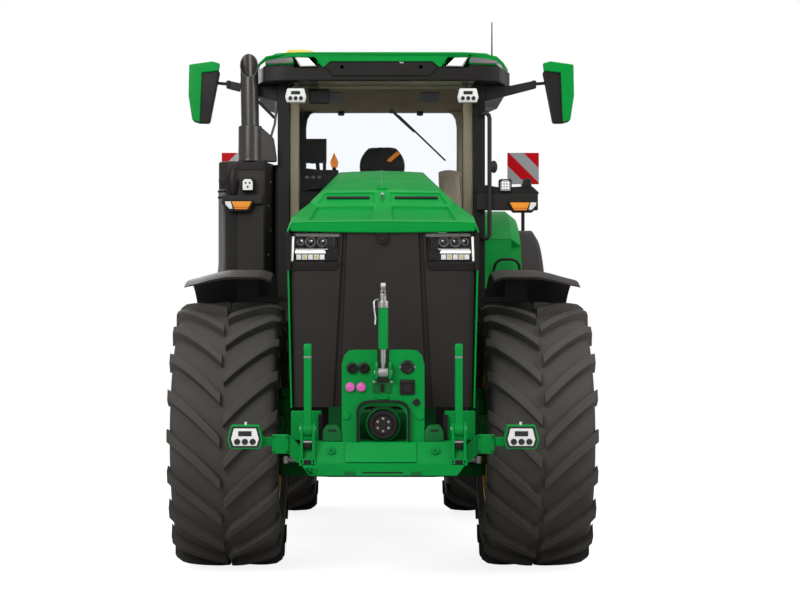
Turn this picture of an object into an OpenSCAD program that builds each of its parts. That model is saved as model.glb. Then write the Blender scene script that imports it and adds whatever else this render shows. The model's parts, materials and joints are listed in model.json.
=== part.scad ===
// Large four-wheel-drive farm tractor with a cab, front hitch and rear three-point hitch.
// The tractor faces -Y and stands on Z = 0. Its own left side is +X. Millimetres.

/* [Overall] */
// Distance between the front and rear axles
wheelbase = 3050; // [2900:10:3200]
// Front axle to the foremost face of the front hitch
front_reach = 1480; // [1440:10:1560]
// Rear axle to the rear ends of the lower links
rear_reach = 1300; // [1250:10:1400]

/* [Tyres and rims] */
// Front tyre diameter over the lugs
front_tyre_d = 1644; // [1600:2:1660]
// Front tyre section width
front_tyre_w = 650; // [600:10:660]
// Front rim diameter at the bead seat
front_rim_d = 864; // [800:2:900]
// Distance between the centres of the front tyres
front_track = 1870; // [1850:10:1960]
// Rear tyre diameter over the lugs
rear_tyre_d = 2130; // [2060:2:2140]
// Rear tyre section width
rear_tyre_w = 710; // [650:10:720]
// Rear rim diameter at the bead seat
rear_rim_d = 1067; // [1000:1:1100]
// Distance between the centres of the rear tyres
rear_track = 1720; // [1710:10:1840]
// Lugs on each side of a front tyre
front_lugs = 20; // [16:1:24]
// Lugs on each side of a rear tyre
rear_lugs = 22; // [18:1:26]
// Height of the tread lugs
lug_h = 48; // [40:1:55]
// Thickness of the rim's steel
rim_t = 14; // [10:1:18]

/* [Front axle and steering] */
// Distance of each kingpin from the centreline
kingpin_x = 600; // [580:5:615]
// Length of the steering arm on the knuckle
steer_arm = 200; // [190:5:210]
// Radius of the kingpin post
kingpin_r = 60; // [50:1:65]
// Radius of the steering rod
steer_rod_r = 22; // [18:1:24]
// Radius of the front fender over the axle
front_fender_r = 1020; // [1010:5:1030]

/* [Frame and engine] */
// Half width of the front frame and the engine
frame_half = 215; // [200:5:220]
// Underside of the frame rails
frame_z = 800; // [790:5:810]
// Height of the frame rails
frame_h = 220; // [200:5:225]
// Top of the engine block
engine_top = 1740; // [1700:10:1760]
// Half width of the gearbox
gearbox_half = 250; // [230:5:260]

/* [Hood] */
// Hood nose, distance ahead of the front axle
nose_u = 1085; // [1060:5:1100]
// Hood rear end, distance behind the front axle
hood_rear = 1000; // [960:5:1010]
// Half width of the hood at the nose
nose_half = 540; // [530:2:545]
// Half width of the hood at its rear end
hood_rear_half = 450; // [430:2:470]
// Height of the hood's top at the nose
nose_top = 2086; // [2070:2:2100]
// Height of the hood's top at its rear end
hood_rear_top = 2538; // [2510:2:2550]
// Lower edge of the hood's sides
hood_low = 1722; // [1715:1:1740]
// Bottom of the grille
grille_low = 1030; // [1025:1:1060]
// Wall thickness of the hood
hood_t = 16; // [12:1:20]

/* [Cab] */
// Cab front posts, distance behind the front axle
cab_front = 1300; // [1290:5:1320]
// Cab rear wall, distance behind the front axle
cab_rear = 2970; // [2950:5:2990]
// Half width of the cab over the posts
cab_half = 725; // [720:5:735]
// Top of the cab floor
floor_z = 1580; // [1570:2:1590]
// Underside of the cab roof
roof_z = 3170; // [3150:5:3190]
// Thickness of the whole roof
roof_h = 200; // [180:5:220]
// Half width of the roof
roof_half = 900; // [885:5:910]
// Width of a cab post
post = 80; // [70:1:85]
// Thickness of the cab glass
glass_t = 8; // [6:1:10]
// Thickness of the door frame
door_t = 40; // [30:1:45]

/* [Rear fenders] */
// Radius of the rear fender over the rear axle
rear_fender_r = 1165; // [1150:5:1170]
// Thickness of the fender sheets
fender_t = 16; // [12:1:20]
// Distance of the rear fender's outer edge from the centreline
rear_fender_out = 1235; // [1225:5:1250]

/* [Exhaust] */
// Top of the exhaust housing
exhaust_top = 2625; // [2600:5:2650]
// Radius of the exhaust stack
stack_r = 64; // [58:1:68]
// Top of the exhaust stack
stack_top = 3386; // [3340:2:3400]

/* [Front hitch] */
// Half width of the hitch beam
beam_half = 445; // [440:5:455]
// Underside of the hitch beam
beam_low = 690; // [680:5:700]
// Top of the hitch beam
beam_top = 870; // [860:5:880]
// Half width of the hitch plate
hitch_plate_half = 226; // [220:2:240]
// Top of the hitch plate
hitch_plate_top = 1370; // [1340:5:1385]
// Distance of the lower links from the centreline
front_link_x = 410; // [400:2:415]
// Length of the folded lower links
front_link_l = 465; // [440:5:480]
// Centre height of the front power take-off
front_pto_z = 965; // [960:1:970]

/* [Rear hitch] */
// Distance of the lower links from the centreline
rear_link_x = 452; // [445:1:455]
// Height of the lower links' pivots
rear_link_z = 560; // [550:5:570]
// Length of the lift arms
lift_arm_l = 420; // [400:5:440]
// Radius of the ball bores in the lower links
link_bore_r = 18.7; // [18:0.1:19]
// Radius of the drawbar's pin hole
drawbar_hole_r = 20.5; // [19:0.5:22]

/* [Hidden] */
$fn = 48;

green = "#0f8f3e";
dark_green = "#0b5c2b";
yellow = "#e0a91b";
black = "#2b2a2a";
rubber = "#343231";
liner_brown = "#6d6350";
clear = "#b8cdd3";

// Gap between pieces that seat on each other, and between pieces that move past each other
seat_gap = 0.3;
run_gap = 6;
pin_gap = 0.05;

// Places along the tractor: the box over everything is centred on Y = 0
length_over_all = front_reach + wheelbase + rear_reach;
front_y = front_reach - length_over_all / 2;
rear_y = front_y + wheelbase;
front_r = front_tyre_d / 2;
rear_r = rear_tyre_d / 2;
front_wheel_x = front_track / 2;
rear_wheel_x = rear_track / 2;

// Y of a place that lies u ahead of the front axle
function ahead(u) = front_y - u;

// Basic solids placed by their low and high corners or ends
module slab(x, y, z) {
    translate([x[0], y[0], z[0]]) cube([x[1] - x[0], y[1] - y[0], z[1] - z[0]]);
}
module bar_x(x, y, z, r) {
    translate([x[0], y, z]) rotate([0, 90, 0]) cylinder(r = r, h = x[1] - x[0]);
}
module bar_y(x, y, z, r) {
    translate([x, y[0], z]) rotate([-90, 0, 0]) cylinder(r = r, h = y[1] - y[0]);
}
module bar_z(x, y, z, r) {
    translate([x, y, z[0]]) cylinder(r = r, h = z[1] - z[0]);
}
// Outline in (y, z), extruded across the tractor
module side_plate(points, x) {
    translate([x[0], 0, 0]) rotate([90, 0, 90]) linear_extrude(x[1] - x[0]) polygon(points);
}
// Outline in (x, z), extruded along the tractor
module cross_plate(points, y) {
    translate([0, y[1], 0]) rotate([90, 0, 0]) linear_extrude(y[1] - y[0]) polygon(points);
}
// Outline in (x, y), extruded upwards
module plan_plate(points, z) {
    translate([0, 0, z[0]]) linear_extrude(z[1] - z[0]) polygon(points);
}
module both_sides() {
    children();
    mirror([1, 0, 0]) children();
}
module right_side() {
    mirror([1, 0, 0]) children();
}
// A right-hand outline completed by its mirror image
function mirrored(half) = concat(half, [for (i = [len(half) - 1:-1:0]) [-half[i][0], half[i][1]]]);
// A ring about the X axis through (x, y, z), from its (radius, offset along X) outline.
// It starts and ends at angles measured rearwards from straight up.
module ring_x(x, y, z, outline, from = -180, to = 180, facets = 96) {
    translate([x, y, z]) rotate([0, 90, 0]) rotate([0, 0, 180 - to])
        rotate_extrude(angle = to - from, $fn = facets) polygon(outline);
}

// Wheels: a tyre's wall outline as (radius, offset from its middle plane), out to the foot of the lugs
tyre_wall = 34;
tread_t = 26;
function seat_half(w) = 0.42 * w;
function tyre_outline(r, w, rim_r) =
    let (s = seat_half(w), tread = r - lug_h, h = tread - rim_r, half = w / 2 - 6, inner = tread - tread_t)
    mirrored_axial([
        [rim_r, s], [rim_r + rim_flange + 8, s], [rim_r + 0.28 * h, half - 12], [rim_r + 0.55 * h, half],
        [tread - 0.16 * h, half - 12], [tread - 14, half - 46], [tread, half * 0.4]
    ], [
        [inner, half * 0.4], [inner - 0.14 * h, half - 40 - tyre_wall], [rim_r + 0.5 * h, half - tyre_wall],
        [rim_r + 0.2 * h, half - 12 - tyre_wall], [rim_r, s - tyre_wall]
    ]);
// A closed wall from an outer and an inner half outline, completed by their mirror images
function mirrored_axial(outer, inner) = concat(
    outer, [for (i = [len(outer) - 1:-1:0]) [outer[i][0], -outer[i][1]]],
    [for (i = [len(inner) - 1:-1:0]) [inner[i][0], -inner[i][1]]], inner);
// Lugs lean in a V that points down on the front of the tread. Each is two blocks, an inner and an outer one,
// standing on the tread, with its place given as (offset, run round the tread).
lug_w = 74;
lug_sweep = 0.36;
lug_drop = 14;
module lug_block(r, from, to, foot, top) {
    mid = (from[1] + to[1]) / 2;
    reach = (abs(to[1] - from[1]) + lug_w) / 2;
    rotate([-mid / r * 180 / PI, 0, 0]) translate([0, 0, foot])
        linear_extrude(sqrt(top * top - reach * reach) - foot)
        polygon([[from[0], from[1] - mid - lug_w / 2], [from[0], from[1] - mid + lug_w / 2],
                 [to[0], to[1] - mid + lug_w / 2], [to[0], to[1] - mid - lug_w / 2]]);
}
module lugs(r, w, count) {
    sweep = lug_sweep * r;
    turn = 360 / count;
    middle = w * 0.27;
    foot = r - lug_h - 12;
    for (i = [0:count - 1]) {
        rotate([i * turn, 0, 0]) {
            lug_block(r, [8, 0], [middle, sweep * 0.6], foot, r);
            lug_block(r, [middle - 6, sweep * 0.59], [w / 2, sweep], foot - 30, r - lug_drop);
        }
        rotate([(i + 0.5) * turn, 0, 0]) mirror([1, 0, 0]) {
            lug_block(r, [8, 0], [middle, sweep * 0.6], foot, r);
            lug_block(r, [middle - 6, sweep * 0.59], [w / 2, sweep], foot - 30, r - lug_drop);
        }
    }
}
module tyre(r, w, rim_r, x, y, count) {
    color(rubber) {
        ring_x(x, y, r, tyre_outline(r, w, rim_r));
        translate([x, y, r]) lugs(r, w, count);
    }
}
// A dished rim: barrel with flanges and a disc, about the wheel's own axis, its outer side towards +X
rim_flange = 26;
function rim_outline(w, rim_r, disc_x, disc_t, hub_r) =
    let (s = seat_half(w), r = rim_r - seat_gap, e = s + seat_gap)
    [
        [r, -e], [rim_r + rim_flange, -e], [rim_r + rim_flange, -e - rim_t], [r - rim_t, -e - rim_t],
        [r - rim_t, disc_x - disc_t], [hub_r, disc_x - disc_t], [hub_r, disc_x],
        [r - rim_t, disc_x], [r - rim_t, e + rim_t], [rim_r + rim_flange, e + rim_t],
            [rim_r + rim_flange, e],
        [r, e]
    ];

front_disc_x = 80;
front_disc_t = 22;
front_hub_r = 165;
front_hub_out = 190;
module front_rim() {
    color(yellow) {
        ring_x(front_wheel_x, front_y, front_r,
               rim_outline(front_tyre_w, front_rim_d / 2, front_disc_x, front_disc_t, 0));
        bar_x([front_wheel_x + front_disc_x - 1, front_wheel_x + front_hub_out], front_y, front_r,
            front_hub_r);
    }
}
rear_disc_x = 60;
rear_disc_t = 26;
rear_hub_r = 150;
rear_shaft_r = 60;
trumpet_end = 430;
module rear_rim() {
    color(yellow) {
        ring_x(rear_wheel_x, rear_y, rear_r,
               rim_outline(rear_tyre_w, rear_rim_d / 2, rear_disc_x, rear_disc_t, 0));
        bar_x([rear_wheel_x + rear_disc_x - 160, rear_wheel_x + rear_disc_x + 70], rear_y, rear_r,
            rear_hub_r);
        bar_x([trumpet_end + seat_gap, rear_wheel_x + rear_tyre_w / 2 - 60], rear_y, rear_r, rear_shaft_r);
    }
}

// Front axle: a housing under the frame, carriers beside it, and wishbone arms out to the kingpins
arm_low = [frame_z - 240, frame_z - 170];
arm_high = [frame_z + 240, frame_z + 300];
carrier_out = 330;
carrier_half = 150;
arm_tip_r = 45;
half_shaft_r = 40;
steer_cyl_r = 50;
steer_rod_z = 675;
module wishbone(z) {
    plan_plate([[carrier_out - 1, front_y - carrier_half + 10], [kingpin_x, front_y - arm_tip_r],
                [kingpin_x, front_y + arm_tip_r], [carrier_out - 1, front_y + carrier_half - 10]], z);
    bar_z(kingpin_x, front_y, z, arm_tip_r);
}
module front_axle() {
    color(dark_green) difference() {
        union() {
            slab([-carrier_out, carrier_out], [front_y - carrier_half, front_y + carrier_half],
                 [arm_low[0], frame_z]);
            both_sides() {
                slab([frame_half, carrier_out], [front_y - carrier_half, front_y + carrier_half],
                     [arm_low[0], arm_high[1]]);
                wishbone(arm_low);
                wishbone(arm_high);
                bar_x([carrier_out - 1, kingpin_x - kingpin_r - run_gap], front_y, front_r, half_shaft_r);
            }
            bar_x([-180, 180], ahead(steer_arm), steer_rod_z, steer_cyl_r);
            slab([-60, 60], [ahead(steer_arm), front_y - carrier_half + 1],
                 [steer_rod_z - steer_cyl_r, steer_rod_z + steer_cyl_r]);
        }
        bar_x([-181, 181], ahead(steer_arm), steer_rod_z, steer_rod_r + seat_gap);
    }
}
// Steering rod: slides across the tractor, with an eye under each knuckle's steering arm
eye_r = 34;
module steering_rod() {
    color("silver") {
        bar_x([-kingpin_x, kingpin_x], ahead(steer_arm), steer_rod_z, steer_rod_r);
        both_sides() bar_z(kingpin_x, ahead(steer_arm), [steer_rod_z - steer_rod_r,
            steer_rod_z + steer_rod_r], eye_r);
    }
}
// Knuckle: kingpin post between the wishbones, hub out to the rim's disc, steering arm and fender stay
hub_r = 140;
stay_x = [560, 590];
stay_y = [130, 190];
steer_arm_t = 36;
stay_top = front_r + sqrt(pow(front_fender_r - fender_t - seat_gap, 2) - pow(stay_y[1], 2));
stay_arm = front_r + front_r + 32;
module knuckle() {
    color(dark_green) {
        bar_z(kingpin_x, front_y, [arm_low[1] + seat_gap, arm_high[0] - seat_gap], kingpin_r);
        bar_x([kingpin_x, front_wheel_x + front_disc_x - front_disc_t - seat_gap], front_y, front_r, hub_r);
        slab([kingpin_x - 35, kingpin_x + 35], [ahead(steer_arm + 35), front_y],
             [steer_rod_z + steer_rod_r + run_gap, steer_rod_z + steer_rod_r + run_gap + steer_arm_t]);
        slab([stay_x[0], kingpin_x + 20], [front_y, front_y + stay_y[1]], [front_r, front_r + 100]);
        slab(stay_x, [front_y + stay_y[0], front_y + stay_y[1]], [front_r, stay_arm]);
        slab([stay_x[0], front_crown[1] - 40], [front_y + stay_y[0], front_y + stay_y[1]],
             [stay_arm - 35, stay_arm]);
        slab([front_crown[0] + 40, front_crown[1] - 40], [front_y + stay_y[0], front_y + stay_y[1]],
             [stay_arm - 1, stay_top]);
    }
}
// Front fender: an arched sheet with a flat crown that falls away to a thin outer edge
front_fender_in = 676;
front_crown = [735, 960];
front_fender_out = 1206;
front_fender_drop = 22;
module front_fender() {
    r = front_fender_r;
    u = front_fender_r - fender_t;
    color(black) ring_x(0, front_y, front_r, [
        [r - front_fender_drop, front_fender_in], [r, front_crown[0]], [r, front_crown[1]], [r - 22, 1045],
        [r - 46, 1130], [r - 64, front_fender_out], [r - 70, front_fender_out - 2], [u - 48, 1130],
        [u - 23, 1045], [u, front_crown[1] - 5], [u, front_crown[0] + 5],
        [u - front_fender_drop, front_fender_in + 2]
    ], -18, 62, 180);
}

// Frame, engine and gearbox
frame_top = frame_z + frame_h;
frame_front = front_reach - 280;
gearbox_front = 1050;
gearbox_rear = 400;
gearbox_low = 620;
gearbox_top = 1400;
rail_w = 65;
module front_frame() {
    color(dark_green) {
        both_sides() slab([frame_half - rail_w, frame_half], [ahead(frame_front), ahead(-gearbox_front)],
                          [frame_z, frame_top]);
        slab([-frame_half, frame_half], [ahead(frame_front), ahead(frame_front - 260)], [frame_z,
            frame_top]);
    }
}
cooling_u = [812, 882];
module engine() {
    color("#3d423f") {
        slab([-frame_half, frame_half], [ahead(700), ahead(-gearbox_front)], [frame_top, engine_top]);
        slab([-frame_half + rail_w, frame_half - rail_w], [ahead(-carrier_half - 20),
            ahead(-gearbox_front)],
             [frame_z - 60, frame_top]);
        slab([-nose_half + 90, nose_half - 90], [ahead(cooling_u[1]), ahead(cooling_u[0])],
             [frame_top + 50, engine_top + 180]);
        slab([-frame_half, frame_half], [ahead(cooling_u[1]), ahead(700)], [frame_top, frame_top + 50]);
    }
}
hanger_y = [200, 300];
rock_y = 120;
rock_z = 1480;
rock_r = 45;
link_shaft_r = 30;
pto_r = 22.2;
pto_z = 700;
pto_l = 76;
module gearbox() {
    color(dark_green) difference() {
        union() {
            slab([-gearbox_half, gearbox_half], [ahead(-gearbox_front), rear_y + gearbox_rear],
                 [gearbox_low, gearbox_top]);
            bar_x([-trumpet_end, trumpet_end], rear_y, rear_r, 170);
            slab([-200, 200], [rear_y + hanger_y[0], rear_y + hanger_y[1]], [rear_link_z - 40,
                gearbox_low]);
            bar_x([-rear_link_x - 40, rear_link_x + 40], rear_y + (hanger_y[0] + hanger_y[1]) / 2,
                rear_link_z,
                  link_shaft_r);
            slab([-220, 220], [rear_y + rock_y - 90, rear_y + rock_y + 90], [gearbox_top, rock_z + 80]);
            bar_y(0, [rear_y + gearbox_rear - 1, rear_y + gearbox_rear + pto_l], pto_z, pto_r);
        }
        bar_x([-221, 221], rear_y + rock_y, rock_z, rock_r + seat_gap);
    }
}
tank_x = [gearbox_half, 610];
tank_y = [1170, 1860];
tank_low = 560;
tank_top = 1460;
box_out = 820;
box_top = 1140;
module fuel_tank() {
    color(black) slab([tank_x[0], tank_x[1]], [ahead(-tank_y[0]), ahead(-tank_y[1])], [tank_low, tank_top]);
}
module tool_box() {
    color(black) slab([-box_out, -tank_x[0]], [ahead(-tank_y[0]), ahead(-tank_y[1])], [tank_low, box_top]);
}

// Hood: a shell lofted through stations along the tractor. A station's right half runs from its lower edge
// over the side, the shoulder and the ridge to the top panel's edge and the centreline, as (x, z).
grille_lean = 115;
lip_h = 60;
cheek_rear = 890;
step_u = 300;
step_run = 80;
step_h = 95;
panel_slope = 0.178;
panel_step = nose_top + panel_slope * (nose_u - step_u);
function station_half(low, half, side_z, shoulder, ridge, panel) = [
    [half - 14, low], [half, side_z], shoulder, ridge, panel, [0, panel[1] + 5]
];
// Stations as [distance ahead of the front axle, wall at the top, half outline], from nose to rear
hood_stations = [
    [nose_u, lip_h, station_half(grille_low, nose_half, 1850, [nose_half + 2, nose_top - 55],
        [nose_half - 22, nose_top - 4], [nose_half - 100, nose_top - 2])],
    [nose_u - 45, hood_t, station_half(grille_low, nose_half, 1850, [nose_half + 1, nose_top - 48],
        [nose_half - 21, nose_top + 8], [nose_half - 100, nose_top + 5])],
    [cheek_rear, hood_t, station_half(grille_low, nose_half, 1850, [nose_half, nose_top - 35],
        [nose_half - 18, nose_top + 42], [nose_half - 110, nose_top + 30])],
    [cheek_rear - 12, hood_t, station_half(hood_low + 12, nose_half - 1, 1850, [nose_half, nose_top - 34],
        [nose_half - 19, nose_top + 44], [nose_half - 110, nose_top + 32])],
    [step_u, hood_t, station_half(hood_low + 6, nose_half - 34, 1930, [nose_half - 42, nose_top + 40],
        [nose_half - 105, panel_step + 20], [nose_half - 132, panel_step])],
    [step_u - step_run, hood_t, station_half(hood_low + 6, nose_half - 37, 1940, [nose_half - 46,
        nose_top + 48],
        [nose_half - 104, panel_step + 32], [nose_half - 188, panel_step + step_h])],
    [-hood_rear, hood_t, station_half(hood_low, hood_rear_half, 2100, [hood_rear_half - 20,
        hood_rear_top - 240],
        [hood_rear_half - 165, hood_rear_top - 5], [hood_rear_half - 250, hood_rear_top])]
];
// The nose leans: its lower edge lies behind the lip
function nose_y(u, z) = ahead(u - (u > nose_u - 50 ? grille_lean * max(0, nose_top - lip_h - z)
    / (nose_top - lip_h - grille_low) : 0));
// Outer and inner rings of a station, right to left and back
function inset(p, i, top, t) = i < 3 ? [p[0] - t, p[1] - (i == 2 ? t * 0.4 : 0)]
    : [max(0, p[0] - (i == 3 ? t * 0.7 : 0)), p[1] - top];
function station_ring(st) =
    let (half = st[2], inner = [for (i = [0:len(half) - 1]) inset(half[i], i, st[1], hood_t)],
        n = len(half))
    [for (q = concat(
        half, [for (i = [n - 2:-1:0]) [-half[i][0], half[i][1]]],
        [for (i = [0:n - 1]) [-inner[i][0], inner[i][1]]], [for (i = [n - 2:-1:0]) inner[i]]))
        [q[0], nose_y(st[0], q[1]), q[1]]];
module lofted_shell(rings) {
    n = len(rings[0]);
    k = len(rings);
    half = n / 2;
    points = [for (r = rings) for (q = r) q];
    walls = [for (j = [0:k - 2]) for (i = [0:n - 1]) let (m = (i + 1) % n)
        each [[j * n + i, j * n + m, (j + 1) * n + m], [j * n + i, (j + 1) * n + m, (j + 1) * n + i]]];
    front = [for (i = [0:half - 2]) each [[i, n - 2 - i, i + 1], [i, n - 1 - i, n - 2 - i]]];
    e = (k - 1) * n;
    rear = [for (i = [0:half - 2]) each [[e + i, e + i + 1, e + n - 2 - i], [e + i, e + n - 2 - i,
        e + n - 1 - i]]];
    polyhedron(points, concat(walls, front, rear));
}
// Hinge at the hood's rear: two ears under its top, on a pin that the cab's cowl carries
hood_pivot = [ahead(40 - hood_rear), hood_rear_top - 58];
hood_pin_r = 12;
ear_x = [130, 146];
module hood_shell() {
    color(green) {
        lofted_shell([for (st = hood_stations) station_ring(st)]);
        both_sides() difference() {
            union() {
                bar_x(ear_x, hood_pivot[0], hood_pivot[1], 24);
                slab(ear_x, [hood_pivot[0] - 24, hood_pivot[0] + 24], [hood_pivot[1], hood_pivot[1] + 46]);
            }
            bar_x([ear_x[0] - 1, ear_x[1] + 1], hood_pivot[0], hood_pivot[1], hood_pin_r + pin_gap);
        }
    }
}
// Grille panel inside the nose, with the headlights in its upper corners
grille_t = 50;
grille_back = 24;
grille_top = nose_top - lip_h - 2;
grille_half_low = nose_half - 14 - hood_t - seat_gap;
grille_half = nose_half - hood_t - 4;
lamp_in = 235;
lamp_low = 1856;
crease_t = 14;
crease_w = 40;
crease_top = 190;
crease_low = 275;
module grille_slab(back, t, low, top) {
    side_plate([
        [ahead(nose_u - back), top], [nose_y(nose_u, low) + back, low],
        [nose_y(nose_u, low) + back + t, low], [ahead(nose_u - back - t), top]
    ], [-nose_half, nose_half]);
}
module grille_front() {
    cross_plate(mirrored([[grille_half_low, grille_low], [grille_half, 1850], [grille_half, grille_top]]),
                [ahead(nose_u), ahead(nose_u - 300)]);
}
module grille() {
    color(black) difference() {
        intersection() {
            grille_slab(grille_back, grille_t, grille_low, grille_top);
            grille_front();
        }
        // Creases beside the middle panel
        intersection() {
            grille_slab(grille_back - 1, crease_t, grille_low - 1, grille_top + 1);
            both_sides() cross_plate([[crease_top, grille_top], [crease_top + crease_w, grille_top],
                                      [crease_low + crease_w, grille_low - 1], [crease_low,
                                          grille_low - 1]],
                                     [ahead(nose_u), ahead(nose_u - 300)]);
        }
        both_sides() slab([lamp_in - seat_gap, grille_half + 1], [ahead(nose_u), ahead(nose_u - 160)],
                          [lamp_low - seat_gap, grille_top + 1]);
    }
}
module headlights() {
    color("white") both_sides() intersection() {
        slab([lamp_in, grille_half - 0.5], [ahead(nose_u), ahead(nose_u - 160)], [lamp_low, grille_top]);
        grille_slab(grille_back, grille_t, grille_low, grille_top);
    }
}

// Cab: posts, floor, panels and glass
floor_t = 60;
cowl_top = hood_rear_top - 260;
hinge_plate_x = [ear_x[1] + run_gap, ear_x[1] + run_gap + 16];
a_post = [ahead(-cab_front), ahead(-cab_front - post)];
b_post = [ahead(-cab_front - 850), ahead(-cab_front - 850 - post)];
c_post = [ahead(-cab_rear + post), ahead(-cab_rear)];
inner_wall = 440;
side_in = cab_half - post;
fender_over = rear_fender_r + fender_t + 12;
// Height of the rear fender's top at a place y along the tractor
function over_fender(y) = rear_r + sqrt(max(0, pow(fender_over, 2) - pow(y - rear_y, 2)));
door_front = a_post[1] + run_gap;
door_rear = b_post[0] - run_gap;
door_low_rear = over_fender(door_rear) + 50;
module cab_floor() {
    color(black) {
        plan_plate(mirrored([
            [cab_half, ahead(-cab_front)], [cab_half, rear_y - 1075], [inner_wall, rear_y - 1075],
            [inner_wall, ahead(-cab_rear)]
        ]), [floor_z - floor_t, floor_z]);
        // Firewall under the windscreen, with the cowl behind the hood
        slab([-side_in, side_in], [a_post[0], a_post[0] + 40], [floor_z - 1, floor_z + 520]);
        slab([-hood_rear_half + 60, hood_rear_half - 60], [ahead(-hood_rear - 60), a_post[0] + 1],
             [floor_z - floor_t, cowl_top]);
        // Brackets with the hood's hinge pins
        both_sides() {
            slab(hinge_plate_x, [hood_pivot[0] - 20, ahead(-hood_rear - 60) + 1], [cowl_top - 40,
                cowl_top - 10]);
            slab(hinge_plate_x, [hood_pivot[0] - 15, hood_pivot[0] + 15], [cowl_top - 40,
                hood_pivot[1] + 15]);
            bar_x([ear_x[0] - 4, hinge_plate_x[0] + 1], hood_pivot[0], hood_pivot[1], hood_pin_r);
        }
        // Rear wall between the fenders
        slab([-inner_wall, inner_wall], [ahead(-cab_rear) - 30, ahead(-cab_rear)], [floor_z - 1,
            rear_r + 1235]);
        // Lower side panels, left under the door's slanted edge
        both_sides() side_plate([
            [door_front + 320, floor_z - 1], [rear_y - 1075, floor_z - 1], [rear_y - 1050, floor_z + 30],
            [door_rear, door_low_rear - 20], [door_rear, door_low_rear - 12]
        ], [side_in + 10, side_in + 40]);
    }
}
module cab_posts() {
    color(black) both_sides() {
        slab([side_in, cab_half], a_post, [floor_z, roof_z]);
        slab([side_in, cab_half], b_post, [over_fender(b_post[1]), roof_z]);
        slab([side_in, cab_half], c_post, [rear_r + fender_over, roof_z]);
    }
    // Lower halves of the door's hinges
    color(black) for (z = hinge_z) {
        bar_z(hinge_x, hinge_y, [z - hinge_l - seat_gap, z - seat_gap], hinge_r);
        slab([cab_half - 1, hinge_x], [hinge_y, b_post[1] - 5], [z - hinge_l - seat_gap, z - seat_gap]);
    }
}
roof_front = ahead(-1080);
roof_rear = ahead(-3080);
liner_h = 110;
roof_plan = [
    [640, roof_front], [800, roof_front + 60], [roof_half, roof_front + 420],
    [roof_half, roof_rear - 300], [roof_half - 60, roof_rear]
];
module cab_liner() {
    color(black) difference() {
        plan_plate(mirrored([for (p = roof_plan) [p[0] + 12, p[1] * 0.985]]), [roof_z, roof_z + liner_h]);
        both_sides() roof_lamp(seat_gap);
    }
}
module cab_roof() {
    color(green) difference() {
        hull() {
            plan_plate(mirrored(roof_plan), [roof_z + liner_h, roof_z + liner_h + 30]);
            plan_plate(mirrored([for (p = roof_plan) [p[0] - 70, p[1] * 0.95]]), [roof_z + roof_h - 20,
                roof_z + roof_h]);
        }
        both_sides() roof_lamp(seat_gap);
    }
}
module pane_side(x, y, z) {
    slab([x, x + glass_t], y, z);
}
module cab_glass() {
    color(clear, 0.4) {
        slab([-side_in + 2, side_in - 2], [a_post[0] + 10, a_post[0] + 10 + glass_t],
            [floor_z + 520 + seat_gap, roof_z - seat_gap]);
        slab([-side_in + 2, side_in - 2], [c_post[1] - 18, c_post[1] - 18 + glass_t],
             [rear_r + 1240, roof_z - seat_gap]);
        both_sides() pane_side(side_in + 20, [b_post[1] + 2, c_post[0] - 2], [rear_r + fender_over + 2,
            roof_z - seat_gap]);
        right_side() side_plate([
            [a_post[1] + 2, floor_z + 2], [door_front + 300, floor_z + 2], [door_rear + 3, door_low_rear],
            [door_rear + 3, roof_z - seat_gap], [a_post[1] + 2, roof_z - seat_gap]
        ], [side_in + 20, side_in + 20 + glass_t]);
    }
}
// Door: hinged on the post ahead of the rear fender, its lower rear corner cut to pass over the fender
door_rail = 60;
door_x = [cab_half - door_t, cab_half];
hinge_r = 14;
hinge_x = cab_half + hinge_r + 2;
hinge_y = door_rear + 3;
hinge_z = [floor_z + 560, roof_z - 360];
hinge_l = 60;
function door_outline(t) = [
    [door_front + t, floor_z + 6 + t], [door_front + 320 - t * 0.3, floor_z + 6 + t],
    [door_rear - t, door_low_rear + t], [door_rear - t, roof_z - run_gap - t], [door_front + t,
        roof_z - run_gap - t]
];
module door_frame() {
    color(black) {
        difference() {
            side_plate(door_outline(0), door_x);
            side_plate(door_outline(door_rail), [door_x[0] - 1, door_x[1] + 1]);
        }
        for (z = hinge_z) {
            bar_z(hinge_x, hinge_y, [z, z + hinge_l], hinge_r);
            slab([cab_half - 1, hinge_x], [hinge_y - 55, hinge_y], [z, z + hinge_l]);
        }
    }
}
module door_glass() {
    color(clear, 0.4) side_plate(door_outline(door_rail + seat_gap), [door_x[0] + 12,
        door_x[0] + 12 + glass_t]);
}

// Inside the cab
seat_y = ahead(-2420);
seat_z = 2080;
// Fold-down second seat on the left fender
spare_x = [465, side_in - 10];
spare_y = seat_y + 180;
spare_z = rear_r + sqrt(pow(rear_fender_r + fender_t + seat_gap, 2) - pow(rear_y - spare_y, 2));
module seats() {
    color("#2f3330") {
        slab([-170, 170], [seat_y - 200, seat_y + 200], [floor_z, seat_z - 90]);
        slab([-260, 260], [seat_y - 270, seat_y + 230], [seat_z - 90, seat_z + 40]);
        side_plate([[seat_y + 150, seat_z + 40], [seat_y + 270, seat_z + 40], [seat_y + 390, seat_z + 620],
                    [seat_y + 290, seat_z + 620]], [-250, 250]);
        side_plate([[seat_y + 292, seat_z + 620], [seat_y + 388, seat_z + 620], [seat_y + 410,
            seat_z + 790],
                    [seat_y + 330, seat_z + 790]], [-150, 150]);
    }
    color(liner_brown) {
        slab(spare_x, [spare_y - 240, spare_y], [spare_z, spare_z + 60]);
        side_plate([[spare_y - 60, spare_z + 59], [spare_y, spare_z + 59], [spare_y + 50, spare_z + 540],
                    [spare_y - 10, spare_z + 540]], spare_x);
    }
}
column_y = ahead(-1520);
wheel_tilt = 32;
wheel_hub = [0, ahead(-1760), 2330];
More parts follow.
